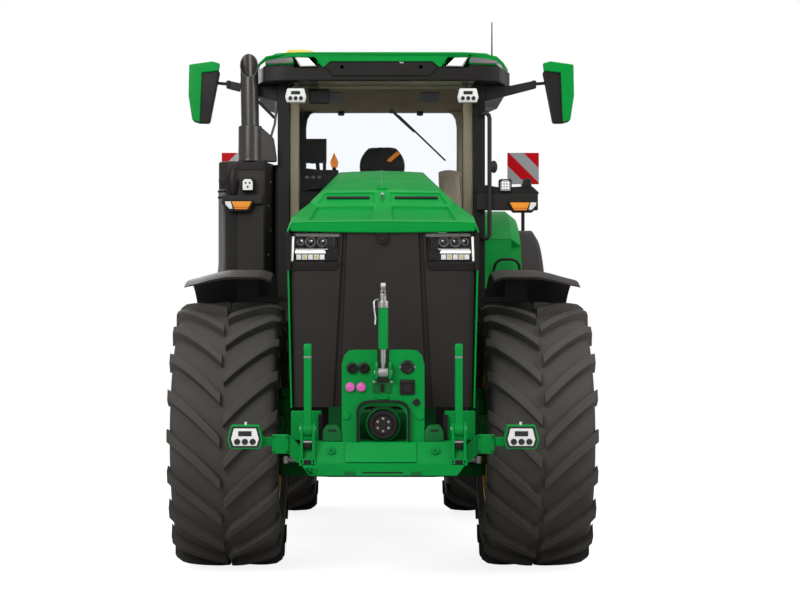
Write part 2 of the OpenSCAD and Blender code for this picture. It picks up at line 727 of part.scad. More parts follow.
module cab_controls() {
    color(black) {
        side_plate([[column_y - 90, floor_z], [column_y + 90, floor_z], [wheel_hub[1] + 30,
            wheel_hub[2] - 60],
                    [wheel_hub[1] - 60, wheel_hub[2] - 10]], [-70, 70]);
        translate(wheel_hub) rotate([-wheel_tilt, 0, 0]) {
            rotate_extrude() translate([200, 0]) circle(r = 15);
            translate([-20, -195, -8]) cube([40, 390, 16]);
            translate([-195, -20, -8]) cube([390, 40, 16]);
            translate([0, 0, -40]) cylinder(r = 50, h = 50);
        }
        slab([-430, -290], [seat_y - 420, seat_y + 160], [seat_z + 130, seat_z + 200]);
        slab([-410, -310], [seat_y - 60, seat_y + 120], [floor_z, seat_z + 130]);
        slab([-430, -405], [seat_y - 415, seat_y - 395], [seat_z + 199, seat_z + 620]);
        slab([-560, -402], [seat_y - 430, seat_y - 390], [seat_z + 603, seat_z + 781]);
    }
}

// Steps and handrails by the door
step_x = [630, 900];
step_y = [1180, 1640];
step_z = [470, 790, 1110, 1430];
module steps() {
    color(black) {
        for (z = step_z) slab(step_x, [ahead(-step_y[0]), ahead(-step_y[1])], [z, z + 30]);
        for (y = step_y) slab([step_x[0] - 20, step_x[1]], [ahead(-y) - 6, ahead(-y) + 6],
                              [step_z[0], floor_z - floor_t]);
    }
}
rail_r = 16;
rail_x = cab_half + 25;
rail_out = 95;
rail_z = [2090, 2960];
module handrails() {
    color(black) {
        bar_z(rail_x, a_post[0] - rail_out, [rail_z[0] - rail_r, rail_z[1] + rail_r], rail_r);
        for (z = rail_z) {
            bar_x([cab_half - 20, rail_x], a_post[0] - rail_out, z, rail_r);
            bar_y(cab_half - 20, [a_post[0] - rail_out, a_post[0]], z, rail_r);
        }
    }
}
bracket_z = exhaust_top - 300;
bracket_rise = 78;
mirror_arm = 1080;
module cab_brackets() {
    color(black) {
        slab([cab_half - 60, 1090], [a_post[0] - 60, a_post[0]], [bracket_z - 35, bracket_z + bracket_rise]);
        right_side() slab([820, 1100], [exhaust_front - 40, exhaust_front], [bracket_z, bracket_z + 60]);
        both_sides() cross_plate([
            [cab_half, roof_z - 112], [mirror_arm, roof_z - 20], [mirror_arm, roof_z + 36],
            [roof_half + 8, roof_z - seat_gap], [cab_half, roof_z - seat_gap]
        ], [a_post[1] - 35, a_post[1]]);
    }
}
mirror_x = [1125, 1350];
mirror_z = [2900, 3335];
module mirrors() {
    color(green) both_sides() {
        cross_plate([
            [mirror_x[0], mirror_z[1] - 14], [mirror_x[0] + 48, mirror_z[1]],
            [mirror_x[1] - 4, mirror_z[1] - 24], [mirror_x[1], mirror_z[1] - 270],
            [mirror_x[1] - 24, mirror_z[0] + 12], [mirror_x[1] - 75, mirror_z[0]],
            [mirror_x[0] + 66, mirror_z[0]], [mirror_x[0] + 4, mirror_z[1] - 60]
        ], [a_post[1] - 85, a_post[1] + 5]);
        bar_x([mirror_arm, mirror_x[0] + 40], a_post[1] - 18, roof_z + 8, 12);
    }
}

// Rear fenders: green arch beside the cab with an inner wall and a raised hump, and a black outer extension
fender_split = 1060;
// Step down from the fender to its extension
ext_drop = 14;
// Ends of the fenders, degrees ahead of and behind the rear axle
fender_front = 54;
fender_rear = 58;
hump_r = 1320;
hump_x = [cab_half + 15, fender_split];
hump_from = -36;
hump_to = 50;
// The hump's section, set in from its outer face by t, standing on the sheet with its foot sunk in it
function hump_section(t, foot) =
    let (r = rear_fender_r + fender_t - foot, high = hump_r - t, out = hump_x[1] - 1 - t)
    [[r, hump_x[0] + t], [high, hump_x[0] + t], [high, out - 74 + t * 0.5], [high - 60 + t * 0.5, out],
        [r, out]];
module hump(from, to) {
    inner = hump_section(fender_t, 2);
    ring_x(0, rear_y, rear_r,
           concat(hump_section(0, 2), [for (i = [len(inner) - 1:-1:0]) inner[i]]), from, to, 180);
    for (a = [from, to])
        ring_x(0, rear_y, rear_r, hump_section(fender_t / 2, 5), a - 0.4, a + 0.4, 180);
}
// The hump's front end: it slopes down to the fender's front edge
function on_arc(r, a) = [rear_y + r * sin(a), rear_r + r * cos(a)];
module hump_front() {
    foot = [for (a = [0.5 - fender_front, -48, -42, hump_from + 1]) on_arc(rear_fender_r + fender_t - 4, a)];
    side_plate(concat([on_arc(hump_r - 1, hump_from + 0.2)], foot), [hump_x[0] + 2, hump_x[1] - 76]);
    side_plate(concat([on_arc(hump_r - 61, hump_from + 0.2)], foot), [hump_x[0] + 4, hump_x[1] - 3]);
}
module rear_fenders() {
    color(green) both_sides() {
        ring_x(0, rear_y, rear_r, [
            [rear_fender_r, inner_wall], [rear_fender_r + fender_t, inner_wall],
            [rear_fender_r + fender_t, fender_split], [rear_fender_r, fender_split]
        ], -fender_front, fender_rear, 180);
        ring_x(0, rear_y, rear_r, [
            [rear_fender_r + 2, inner_wall + 1], [rear_fender_r + fender_t - 2, inner_wall + 1],
            [rear_fender_r + fender_t - 2, side_in], [rear_fender_r + 2, side_in]
        ], -62, 1 - fender_front, 180);
        ring_x(0, rear_y, rear_r, [
            [640, inner_wall + 2], [rear_fender_r + 8, inner_wall + 2], [rear_fender_r + 8,
                inner_wall + 20],
            [640, inner_wall + 20]
        ], -61, -4, 180);
        hump(hump_from, hump_to);
        hump_front();
    }
}
module fender_extensions() {
    color(black) both_sides() ring_x(0, rear_y, rear_r, [
        [rear_fender_r - ext_drop, fender_split], [rear_fender_r + fender_t - ext_drop, fender_split],
        [rear_fender_r + fender_t - ext_drop, rear_fender_out - 40], [rear_fender_r - 60, rear_fender_out],
        [rear_fender_r - 76, rear_fender_out - 6], [rear_fender_r - ext_drop, rear_fender_out - 52]
    ], -fender_front, fender_rear, 180);
}

// Exhaust: tall housing beside the cab, with the stack on it
exhaust_x = [-1130, -806];
exhaust_y = [1165, 1560];
exhaust_front = ahead(-exhaust_y[0]);
sleeve_r = stack_r + 20;
module exhaust_housing() {
    color(black) {
        plan_plate([
            [exhaust_x[0], ahead(-exhaust_y[1])], [exhaust_x[0], exhaust_front + 65], [exhaust_x[0] + 68,
                exhaust_front],
            [exhaust_x[1], exhaust_front], [-cab_half - 20, ahead(-exhaust_y[1] + 80)], [-cab_half - 20,
                ahead(-exhaust_y[1])]
        ], [box_top + seat_gap, exhaust_top]);
    }
}
stack_x = -912;
stack_y = ahead(-1240);
// Height of the stack's slanted mouth, which faces forward
stack_cut = 182;
module exhaust_stack() {
    color(black) difference() {
        union() {
            bar_z(stack_x, stack_y, [exhaust_top, exhaust_top + 250], sleeve_r);
            bar_z(stack_x, stack_y, [exhaust_top, stack_top], stack_r);
        }
        bar_z(stack_x, stack_y, [exhaust_top + 300, stack_top + 1], stack_r - 4);
        translate([stack_x, stack_y - stack_r, stack_top - stack_cut])
            rotate([atan(stack_cut / (2 * stack_r)), 0, 0])
            translate([-150, -300, 0]) cube([300, 600, 400]);
    }
}

// Lamps, warning panels and roof fittings
work_lamp = [190, 90, 130];
hitch_lamp_x = 735;
hitch_lamp_z = 895;
roof_lamp_x = [440, 600];
roof_lamp_z = [roof_z + 92, roof_z + 162];
roof_lamp_back = 150;
post_lamp_x = [510, 640];
module roof_lamp(gap) {
    slab([roof_lamp_x[0] - gap, roof_lamp_x[1] + gap], [roof_front + 4 - gap * 40,
        roof_front + roof_lamp_back],
         [roof_lamp_z[0] - gap, roof_lamp_z[1] + gap]);
}
module work_lamps() {
    color("white") both_sides() {
        cross_plate([
            for (p = [[0.5, 0], [0.34, 0.5], [-0.34, 0.5], [-0.5, 0], [-0.34, -0.5], [0.34, -0.5]])
                [hitch_lamp_x + p[0] * work_lamp[0], hitch_lamp_z + p[1] * work_lamp[2]]
        ], [ahead(front_reach - 30), ahead(front_reach - 30) + work_lamp[1]]);
        roof_lamp(0);
        slab(post_lamp_x, [ahead(-1100), ahead(-1160)], [roof_z - 146, roof_z - 50]);
        slab([560, 600], [ahead(-1120), ahead(-1150)], [roof_z - 51, roof_z - seat_gap]);
    }
    color("white") {
        slab([815, 905], [a_post[0] - 75, a_post[0]],
             [bracket_z + bracket_rise, bracket_z + bracket_rise + 95]);
        right_side() slab([882, 972], [exhaust_front - 75, exhaust_front - seat_gap],
                          [bracket_z + 92, bracket_z + 187]);
    }
}
rear_lamp_x = [860, 1050];
rear_lamp_gap = 0.015;
rear_lamp_t = 2.4;
module road_lamps() {
    color("orange") {
        slab([860, 1075], [a_post[0] - 90, a_post[0] - 60], [bracket_z - 10, bracket_z + 55]);
        right_side() slab([860, 1075], [exhaust_front - 70, exhaust_front - 40], [bracket_z - 10,
            bracket_z + 55]);
    }
    // Rear lamps against the lower ends of the fenders
    color("red") both_sides() ring_x(0, rear_y, rear_r, [
        [rear_fender_r - 60, rear_lamp_x[0]], [rear_fender_r + 30, rear_lamp_x[0]],
        [rear_fender_r + 30, rear_lamp_x[1]], [rear_fender_r - 60, rear_lamp_x[1]]
    ], fender_rear + rear_lamp_gap, fender_rear + rear_lamp_t, 180);
}
antenna_top = 3690;
panel = 260;
panel_x = 1180;
panel_y = rear_y + 500;
panel_z = 2640;
panel_t = 12;
panel_post = 30;
// Top of the fender extension at a place y along the tractor
function over_extension(y) = rear_r + sqrt(pow(rear_fender_r + fender_t - ext_drop + seat_gap, 2)
    - pow(y - rear_y, 2));
module warning_panels() {
    color("red") both_sides() {
        slab([panel_x - panel / 2, panel_x + panel / 2], [panel_y - panel_t, panel_y], [panel_z,
            panel_z + panel]);
        side_plate([[panel_y - 1, over_extension(panel_y - 1)], [panel_y + panel_post,
            over_extension(panel_y + panel_post)],
                    [panel_y + panel_post, panel_z + 140], [panel_y - 1, panel_z + 140]],
                   [panel_x - panel_post / 2, panel_x + panel_post / 2]);
    }
}
module roof_receiver() {
    color("gold") {
        translate([-560, ahead(-1450), roof_z + roof_h]) cylinder(r1 = 120, r2 = 90, h = 60);
        bar_z(780, ahead(-1800), [roof_z + roof_h, antenna_top], 6);
    }
}

// Front hitch
plate_u = [front_reach - 110, front_reach - 80];
pivot_u = front_reach - 40;
pivot_z = 940;
top_pivot = [front_reach - 55, 1245];
link_t = 50;
pin_r = 16;
ear_t = 15;
arch_half = 137;
cheek_in = 340;
cheek_out = 510;
lamp_arm_y = [ahead(front_reach - 30) + work_lamp[1], ahead(front_reach - 30) + work_lamp[1] + 45];
module hitch_frame() {
    color(green) difference() {
        union() {
            cross_plate(mirrored([[beam_half, beam_top], [beam_half, beam_low + 60], [beam_half - 45,
                beam_low]]),
                        [ahead(front_reach), ahead(frame_front)]);
            cross_plate(mirrored([[hitch_plate_half, beam_top - 1], [hitch_plate_half,
                hitch_plate_top - 80],
                                  [hitch_plate_half - 40, hitch_plate_top]]),
                        [ahead(plate_u[1]), ahead(plate_u[0])]);
            both_sides() {
                slab([hitch_plate_half - 60, hitch_plate_half], [ahead(plate_u[0] + 1), ahead(frame_front)],
                     [beam_top - 1, frame_top]);
                slab([cheek_in, cheek_out], [ahead(frame_front + 60), ahead(frame_front)], [beam_top - 1,
                    grille_low]);
                for (x = [front_link_x - link_t / 2 - ear_t, front_link_x + link_t / 2])
                    side_plate([[ahead(pivot_u + 40), beam_top - 1], [ahead(pivot_u - 40), beam_top - 1],
                                [ahead(pivot_u - 40), pivot_z + 45], [ahead(pivot_u + 40), pivot_z + 45]],
                               [x, x + ear_t]);
                slab([beam_half - 1, hitch_lamp_x + 35], lamp_arm_y, [beam_top - 70, beam_top]);
                slab([hitch_lamp_x - 35, hitch_lamp_x + 35], lamp_arm_y, [beam_top - 70, beam_top + 60]);
                slab([30 + seat_gap, 45], [ahead(top_pivot[0] + 35), ahead(plate_u[1] - 1)],
                     [top_pivot[1] - 45, top_pivot[1] + 60]);
            }
        }
        // Arch for the power take-off, its hub opening, link pins and the slot for the top link
        bar_y(0, [ahead(plate_u[1] + 1), ahead(plate_u[0] - 1)], front_pto_z - 20, arch_half);
        slab([-arch_half, arch_half], [ahead(plate_u[1] + 1), ahead(plate_u[0] - 1)], [beam_top,
            front_pto_z - 20]);
        both_sides() bar_x([front_link_x - 60, front_link_x + 60], ahead(pivot_u), pivot_z,
            pin_r + pin_gap);
        slab([-30 - seat_gap, 30 + seat_gap], [ahead(plate_u[1] + 1), ahead(plate_u[0] - 1)],
             [top_pivot[1] - 60, hitch_plate_top + 1]);
        bar_x([-60, 60], ahead(top_pivot[0]), top_pivot[1], pin_r + pin_gap);
    }
}
module front_links() {
    color(green) both_sides() {
        bar_x([front_link_x - link_t / 2 - ear_t - 4, front_link_x + link_t / 2 + ear_t + 4],
              ahead(pivot_u), pivot_z, pin_r);
        bar_x([front_link_x - link_t / 2 + 0.5, front_link_x + link_t / 2 - 0.5], ahead(pivot_u),
            pivot_z, 40);
        slab([front_link_x - link_t / 2 + 0.5, front_link_x + link_t / 2 - 0.5],
             [ahead(pivot_u + 38), ahead(pivot_u - 38)], [pivot_z, pivot_z + front_link_l]);
    }
}
top_link_lean = 2;
module front_top_link() {
    color(green) translate([0, ahead(top_pivot[0]), top_pivot[1]]) rotate([-top_link_lean, 0, 0]) {
        rotate([0, 90, 0]) cylinder(r = pin_r, h = 98, center = true);
        rotate([0, 90, 0]) cylinder(r = 28, h = 56, center = true);
        cylinder(r = 27, h = 360);
        translate([0, 0, 359]) cylinder(r = 20, h = 60);
        translate([-15, -35, 418]) cube([30, 70, 75]);
    }
}
module front_pto() {
    color(black) {
        bar_y(0, [ahead(plate_u[1] - 4), ahead(frame_front)], front_pto_z, 94);
        bar_y(0, [ahead(plate_u[1] + 30), ahead(plate_u[1] - 5)], front_pto_z, 80);
    }
}

// Rear hitch
link_l = rear_reach - (hanger_y[0] + hanger_y[1]) / 2 - 45;
link_w = 44;
link_pivot_y = rear_y + (hanger_y[0] + hanger_y[1]) / 2;
module rear_links() {
    color(black) both_sides() difference() {
        union() {
            bar_x([rear_link_x - link_w / 2, rear_link_x + link_w / 2], link_pivot_y, rear_link_z, 55);
            slab([rear_link_x - link_w / 2, rear_link_x + link_w / 2], [link_pivot_y,
                link_pivot_y + link_l],
                 [rear_link_z - 38, rear_link_z + 38]);
            bar_x([rear_link_x - link_w / 2, rear_link_x + link_w / 2], link_pivot_y + link_l,
                rear_link_z, 45);
        }
        bar_x([rear_link_x - 50, rear_link_x + 50], link_pivot_y, rear_link_z, link_shaft_r + seat_gap);
        bar_x([rear_link_x - 50, rear_link_x + 50], link_pivot_y + link_l, rear_link_z, link_bore_r);
    }
}
lift_x = [345, 385];
rod_x = [390, 424];
rod_pin_r = 14;
rod_foot = [link_pivot_y + lift_arm_l, rear_link_z];
rod_head = [rear_y + rock_y + lift_arm_l, rock_z];
rod_lean = atan2(rod_foot[0] - rod_head[0], rod_head[1] - rod_foot[1]);
rod_l = norm(rod_head - rod_foot);
module lift_arms() {
    color(dark_green) {
        bar_x([-lift_x[1], lift_x[1]], rear_y + rock_y, rock_z, rock_r);
        both_sides() {
            side_plate([[rear_y + rock_y - 70, rock_z - 60], [rear_y + rock_y - 40, rock_z + 70],
                        [rod_head[0], rod_head[1] + 35], [rod_head[0], rod_head[1] - 35]], lift_x);
            bar_x(lift_x, rod_head[0], rod_head[1], 35);
            bar_x([lift_x[0], rod_x[1]], rod_head[0], rod_head[1], rod_pin_r);
        }
    }
}
module lift_rods() {
    color("silver") both_sides() difference() {
        union() {
            bar_x(rod_x, rod_head[0], rod_head[1], 32);
            translate([(rod_x[0] + rod_x[1]) / 2, rod_foot[0], rod_foot[1]]) rotate([rod_lean, 0, 0])
                cylinder(r = 16, h = rod_l);
            bar_x(rod_x, rod_foot[0], rod_foot[1], 32);
        }
        bar_x([rod_x[0] - 1, rod_x[1] + 1], rod_head[0], rod_head[1], rod_pin_r + pin_gap);
    }
}
drawbar_z = [440, 490];
drawbar_end = 880;
module drawbar() {
    color(black) difference() {
        union() {
            slab([-55, 55], [rear_y - 300, rear_y + drawbar_end], drawbar_z);
            slab([-90, 90], [rear_y - 250, rear_y - 100], [drawbar_z[1] - 1, gearbox_low]);
            slab([-90, 90], [rear_y + hanger_y[0] + 5, rear_y + hanger_y[1] - 5], [drawbar_z[1] - 1,
                rear_link_z - 40]);
        }
        bar_z(0, rear_y + drawbar_end - 60, [drawbar_z[0] - 1, drawbar_z[1] + 1], drawbar_hole_r);
    }
    color(black) {
        slab([-40, 40], [rear_y + gearbox_rear, rear_y + gearbox_rear + 60], [1080, 1240]);
        bar_z(0, rear_y + gearbox_rear + 40, [1240, 1720], 24);
    }
}

tyre(front_r, front_tyre_w, front_rim_d / 2,  // tyre_front_left
    front_wheel_x, front_y, front_lugs);
right_side() tyre(front_r, front_tyre_w, front_rim_d / 2, front_wheel_x, front_y, front_lugs);  // tyre_front_right
tyre(rear_r, rear_tyre_w, rear_rim_d / 2, rear_wheel_x,  // tyre_rear_left
    rear_y, rear_lugs);
right_side() tyre(rear_r, rear_tyre_w, rear_rim_d / 2, rear_wheel_x, rear_y, rear_lugs);  // tyre_rear_right
front_rim();  // rim_front_left
right_side() front_rim();  // rim_front_right
rear_rim();  // rim_rear_left
right_side() rear_rim();  // rim_rear_right
knuckle();  // knuckle_left
right_side() knuckle();  // knuckle_right
front_fender();  // front_fender_left
right_side() front_fender();  // front_fender_right
steering_rod();
front_axle();
front_frame();
engine();
gearbox();
fuel_tank();
tool_box();
hood_shell();
grille();
headlights();
cab_floor();
cab_posts();
cab_liner();
cab_roof();
cab_glass();
door_frame();
door_glass();
seats();
cab_controls();
steps();
handrails();
cab_brackets();
mirrors();
rear_fenders();
fender_extensions();
exhaust_housing();
exhaust_stack();
work_lamps();
road_lamps();
warning_panels();
roof_receiver();
hitch_frame();
front_links();
front_top_link();
front_pto();
rear_links();
lift_arms();
lift_rods();
drawbar();
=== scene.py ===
"""Looks of a large farm tractor with a cab and a hitch at each end, dressed over its solids."""
import json
import logging
import math
from dataclasses import dataclass
from enum import Enum
from typing import Callable, Iterable, Sequence

import bmesh
import bpy
from mathutils import Matrix, Vector


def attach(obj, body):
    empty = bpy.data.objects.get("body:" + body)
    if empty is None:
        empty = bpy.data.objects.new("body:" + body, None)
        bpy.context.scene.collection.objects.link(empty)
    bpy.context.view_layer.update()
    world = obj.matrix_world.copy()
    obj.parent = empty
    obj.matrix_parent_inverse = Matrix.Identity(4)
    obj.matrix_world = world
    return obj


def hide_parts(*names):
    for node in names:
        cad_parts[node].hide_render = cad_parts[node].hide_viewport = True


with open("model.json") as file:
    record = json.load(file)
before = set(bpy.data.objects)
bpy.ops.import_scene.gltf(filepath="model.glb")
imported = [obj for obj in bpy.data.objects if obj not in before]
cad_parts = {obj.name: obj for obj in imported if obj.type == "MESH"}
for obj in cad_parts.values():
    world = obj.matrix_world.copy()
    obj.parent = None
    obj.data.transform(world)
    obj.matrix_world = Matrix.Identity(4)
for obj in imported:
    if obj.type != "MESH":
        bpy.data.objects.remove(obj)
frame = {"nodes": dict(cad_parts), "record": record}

LOG = logging.getLogger("tractor")
MM = 0.001
# Axles: places along the tractor, and the height of the rear one
FRONT_Y = -1435.0
REAR_Y = 1615.0
REAR_Z = 1065.0
SIDES = (1, -1)
FORWARD = (0.0, -1.0, 0.0)
# Roughness of every clear coat
COAT_ROUGHNESS = 0.12
# Seat pads: mesh size, pressure, steps of the simulation, and how far a point may move
PAD_VOXEL = 6
PAD_PRESSURE = 4
PAD_STEPS = 20
PAD_CAP = 22
Point = tuple[float, float, float]
Pair = tuple[float, float]


def ahead(u: float) -> float:
    """Y of a place that lies u millimetres ahead of the front axle."""
    return FRONT_Y - u


def linear(code: str) -> tuple[float, float, float, float]:
    """Turns an sRGB hex colour into linear light.

    Args:
        code: Colour as "#rrggbb".

    Returns:
        Red, green, blue and an alpha of 1.
    """
    parts = [int(code[i:i + 2], 16) / 255 for i in (1, 3, 5)]
    r, g, b = (c / 12.92 if c <= 0.04045 else ((c + 0.055) / 1.055) ** 2.4 for c in parts)
    return r, g, b, 1.0


def only(items: Iterable, kind: type) -> list:
    """The corners, edges or faces among mixed geometry."""
    return [g for g in items if isinstance(g, kind)]


def about(middle: float, half: float) -> Pair:
    """Range that reaches equally far to both sides of a middle."""
    return middle - half, middle + half


def sided(side: int, points: Sequence[Pair]) -> list[Pair]:
    """Points drawn for the left side, set on the chosen side."""
    return [(side * x, z) for x, z in points]


def circle(r: float, angle: float) -> Pair:
    """Point on a circle at an angle in degrees."""
    return r * math.cos(math.radians(angle)), r * math.sin(math.radians(angle))


def bevel_edges(bm: bmesh.types.BMesh, edges: Iterable[bmesh.types.BMEdge], width: float,
                segments: int) -> None:
    """Rounds edges to a given width."""
    bmesh.ops.bevel(bm, geom=list(edges), offset=width, offset_type="OFFSET", affect="EDGES",
                    segments=segments, profile=0.5, material=-1, clamp_overlap=True)


def whole(bm: bmesh.types.BMesh) -> list:
    """All corners, edges and faces of a mesh."""
    return [*bm.verts, *bm.edges, *bm.faces]


def loop_edges(ring: Sequence[bmesh.types.BMVert]) -> list:
    """Edges between the corners of a ring."""
    return list({e for v in ring for e in v.link_edges if all(w in ring for w in e.verts)})


def add(tree: bpy.types.NodeTree, kind: str, links: dict | None = None, **settings) -> bpy.types.Node:
    """Adds one shader node.

    Args:
        tree: Tree that takes the node.
        kind: Blender's name for the node type.
        links: Socket name or index to a value or to another node's output.
        settings: Attributes of the node.

    Returns:
        The new node.
    """
    node = tree.nodes.new(kind)
    for name, value in settings.items():
        setattr(node, name, value)
    for key, value in (links or {}).items():
        if isinstance(value, bpy.types.NodeSocket):
            tree.links.new(value, node.inputs[key])
        else:
            node.inputs[key].default_value = value
    return node


class Weave(Enum):
    """Pattern that a finish carries besides its grain."""
    NONE = "none"
    CLOTH = "cloth"
    BRUSHED = "brushed"


@dataclass(frozen=True)
class Finish:
    """A surface, named for the material and how it was made, with sizes of its patterns in millimetres."""
    name: str
    colour: str
    shade: str
    roughness: float
    metallic: float = 0.0
    ior: float = 1.5
    gleam: float = 0.5
    grain_mm: float = 4.0
    grain_depth: float = 0.15
    mottle_mm: float = 350.0
    rough_spread: float = 0.08
    coat: float = 0.0
    glow: float = 0.0
    clear: float = 0.0
    weave: Weave = Weave.NONE

    def material(self) -> bpy.types.Material:
        """Makes the material once, and returns it."""
        found = bpy.data.materials.get(self.name)
        if found:
            return found
        mat = bpy.data.materials.new(self.name)
        mat.use_nodes = True
        shader = mat.node_tree.nodes["Principled BSDF"]
        even = {"Base Color": linear(self.colour), "Roughness": self.roughness, "Metallic": self.metallic,
                "IOR": self.ior, "Specular IOR Level": self.gleam, "Coat Weight": self.coat,
                "Coat Roughness": COAT_ROUGHNESS, "Transmission Weight": self.clear}
        if self.glow:
            even.update({"Emission Color": linear(self.colour), "Emission Strength": self.glow})
        for socket, value in even.items():
            shader.inputs[socket].default_value = value
        if self.colour != self.shade:
            self.pattern(mat.node_tree, shader)
        return mat

    def pattern(self, tree: bpy.types.NodeTree, shader: bpy.types.Node) -> None:
        """Links what varies over the surface: mottled colour, spread of roughness, and grain or weave.

        Args:
            tree: Tree that takes the nodes.
            shader: Shader that they lead to.
        """
        place = add(tree, "ShaderNodeTexCoord").outputs["Object"]
        slow = add(tree, "ShaderNodeTexNoise", {"Vector": place, "Scale": 1000 / self.mottle_mm,
                                                "Detail": 4.0})
        span = {"Value": slow.outputs["Fac"], "From Min": 0.3, "From Max": 0.7}
        blend = add(tree, "ShaderNodeMapRange", span)
        tint = add(tree, "ShaderNodeMix", {"Factor": blend.outputs["Result"], 6: linear(self.colour),
                                           7: linear(self.shade)}, data_type="RGBA")
        colour = tint.outputs[2]
        if self.weave is Weave.CLOTH:
            thread = {"Vector": place, "Scale": 1000 / self.grain_mm / 3, "Distortion": 0.6}
            warp, weft = (add(tree, "ShaderNodeTexWave", thread, bands_direction=d).outputs["Fac"]
                          for d in "XZ")
            height = add(tree, "ShaderNodeMath", {0: warp, 1: weft}, operation="MULTIPLY").outputs[0]
            shade = add(tree, "ShaderNodeMapRange", {"Value": height, "To Min": 0.72, "To Max": 1.12})
            colour = add(tree, "ShaderNodeMix", {"Factor": 1.0, 6: colour, 7: shade.outputs["Result"]},
                         data_type="RGBA", blend_type="MULTIPLY").outputs[2]
        elif self.grain_depth:
            if self.weave is Weave.BRUSHED:
                place = add(tree, "ShaderNodeMapping",
                            {"Vector": place, "Scale": (1.0, 0.04, 1.0)}).outputs["Vector"]
            height = add(tree, "ShaderNodeTexNoise", {"Vector": place, "Scale": 1000 / self.grain_mm,
                                                      "Detail": 2.0}).outputs["Fac"]
        tree.links.new(colour, shader.inputs["Base Color"])
        if self.rough_spread:
            low, high = max(0.0, self.roughness - self.rough_spread), self.roughness + self.rough_spread
            rough = add(tree, "ShaderNodeMapRange", {**span, "To Min": low, "To Max": high})
            tree.links.new(rough.outputs["Result"], shader.inputs["Roughness"])
        if self.grain_depth:
            bump = add(tree, "ShaderNodeBump", {"Height": height, "Strength": 1.0,
                                                "Distance": self.grain_depth * MM})
            tree.links.new(bump.outputs["Normal"], shader.inputs["Normal"])


# Sprayed enamel on pressed panels: smooth and even, with a satin gloss
PAINT = Finish("enamel_green", "#00953b", "#008d37", 0.4, gleam=0.1, coat=0.04, grain_mm=9, grain_depth=0.04,
               rough_spread=0.04)
# The same enamel on castings and weldments, with the orange peel of thicker steel
CAST_PAINT = Finish("enamel_on_castings", "#00933e", "#008638", 0.42, gleam=0.12, coat=0.03, grain_mm=5,
                    grain_depth=0.2)
# Darker enamel of the chassis, with the texture of castings
DARK_PAINT = Finish("chassis_enamel", "#0b6e31", "#095a29", 0.5, gleam=0.2, grain_mm=6, grain_depth=0.3)
# Moulded charcoal polypropylene: a fine leather-like mould grain that scatters the light
PLASTIC = Finish("moulded_polypropylene", "#332e2c", "#2d2927", 0.52, gleam=0.2, grain_mm=2.6,
                 grain_depth=0.12, rough_spread=0.05)
# Black moulded trim, smoother and darker than the large panels
TRIM = Finish("moulded_black_trim", "#211e1d", "#1b1918", 0.45, gleam=0.2, grain_mm=2.2, grain_depth=0.08)
# Powder coat on tubes and pressed brackets: a pebbled satin black
POWDER = Finish("powder_coated_steel", "#272423", "#211f1e", 0.4, gleam=0.25, grain_mm=2.4, grain_depth=0.16)
# Vulcanised natural rubber: matt and grained, with a pale bloom of dust
RUBBER = Finish("vulcanised_rubber", "#474441", "#4e4b47", 0.7, gleam=0.15, grain_mm=7, grain_depth=0.5,
                mottle_mm=160, rough_spread=0.1)
# Rim enamel: warm yellow gloss on rolled steel
RIM_PAINT = Finish("rim_enamel_yellow", "#e3b01c", "#d6a316", 0.34, coat=0.3, grain_mm=6, grain_depth=0.06)
# Turned and zinc-plated steel, with fine tool lines
STEEL = Finish("zinc_plated_steel", "#b9bab8", "#a3a4a2", 0.32, metallic=1.0, grain_mm=1.6, grain_depth=0.04,
               weave=Weave.BRUSHED)
# Engine enamel over cast iron, with sand-cast texture
IRON = Finish("cast_iron_enamel", "#3d423f", "#343836", 0.55, grain_mm=5, grain_depth=0.5)
# Headliner felt
LINER = Finish("headliner_felt", "#6a5a3c", "#605136", 0.9, gleam=0.1, grain_mm=3, grain_depth=0.3)
# Grained vinyl of the cab's inner pillars and rails
VINYL = Finish("grained_vinyl_beige", "#857a63", "#7b705a", 0.6, gleam=0.2, grain_mm=3, grain_depth=0.15)
# Woven seat cloth: warp and weft drawn at 3 mm so that they show
CLOTH = Finish("woven_seat_cloth", "#2d2e2c", "#343532", 0.9, grain_mm=3, grain_depth=0.5, weave=Weave.CLOTH)
# Seat vinyl on the second seat
SEAT_VINYL = Finish("seat_vinyl_brown", "#8a7d68", "#82755f", 0.6, grain_mm=4, grain_depth=0.2)
# Toughened window glass, water clear
GLASS = Finish("toughened_glass", "#fbfdff", "#fbfdff", 0.0, ior=1.08, grain_depth=0.0, rough_spread=0.0,
               clear=1.0)
# Clear polycarbonate lens
LENS = Finish("polycarbonate_lens", "#fcfcfc", "#fcfcfc", 0.0, ior=1.12, grain_depth=0.0, rough_spread=0.0,
              clear=1.0)
# Vacuum-metallised reflector behind the lens; the same chrome makes the painted glints on the headlight
# projectors and the painted highlights at the roof's clear corners
CHROME = Finish("metallised_reflector", "#e4e5e6", "#d4d5d6", 0.12, metallic=1.0, grain_depth=0.0,
                rough_spread=0.04)
# Light-emitting strips and diffusers, bright milky white; on the headlights' outer strips, which are chrome,
# the glow is a painted highlight
LED = Finish("milky_led_diffuser", "#fbfbf8", "#f4f4f0", 0.35, grain_depth=0.0, glow=0.35)
# White moulded lamp faces
WHITE = Finish("white_moulded_abs", "#eeeeec", "#e6e6e4", 0.35, grain_mm=3, grain_depth=0.03)
# Amber polycarbonate of the indicators
AMBER = Finish("amber_polycarbonate", "#f09a1c", "#e88b12", 0.2, grain_mm=6, grain_depth=0.2, coat=0.4,
               glow=0.1)
# Red polycarbonate of the rear lamps
RED_LENS = Finish("red_polycarbonate", "#b3161c", "#a01016", 0.2, grain_mm=6, grain_depth=0.2, coat=0.4)
# Retroreflective sheeting of the warning panels' red stripes
RED_SHEET = Finish("reflective_sheet_red", "#cb0a18", "#c20815", 0.45, gleam=0.1, grain_mm=5,
                   grain_depth=0.05)
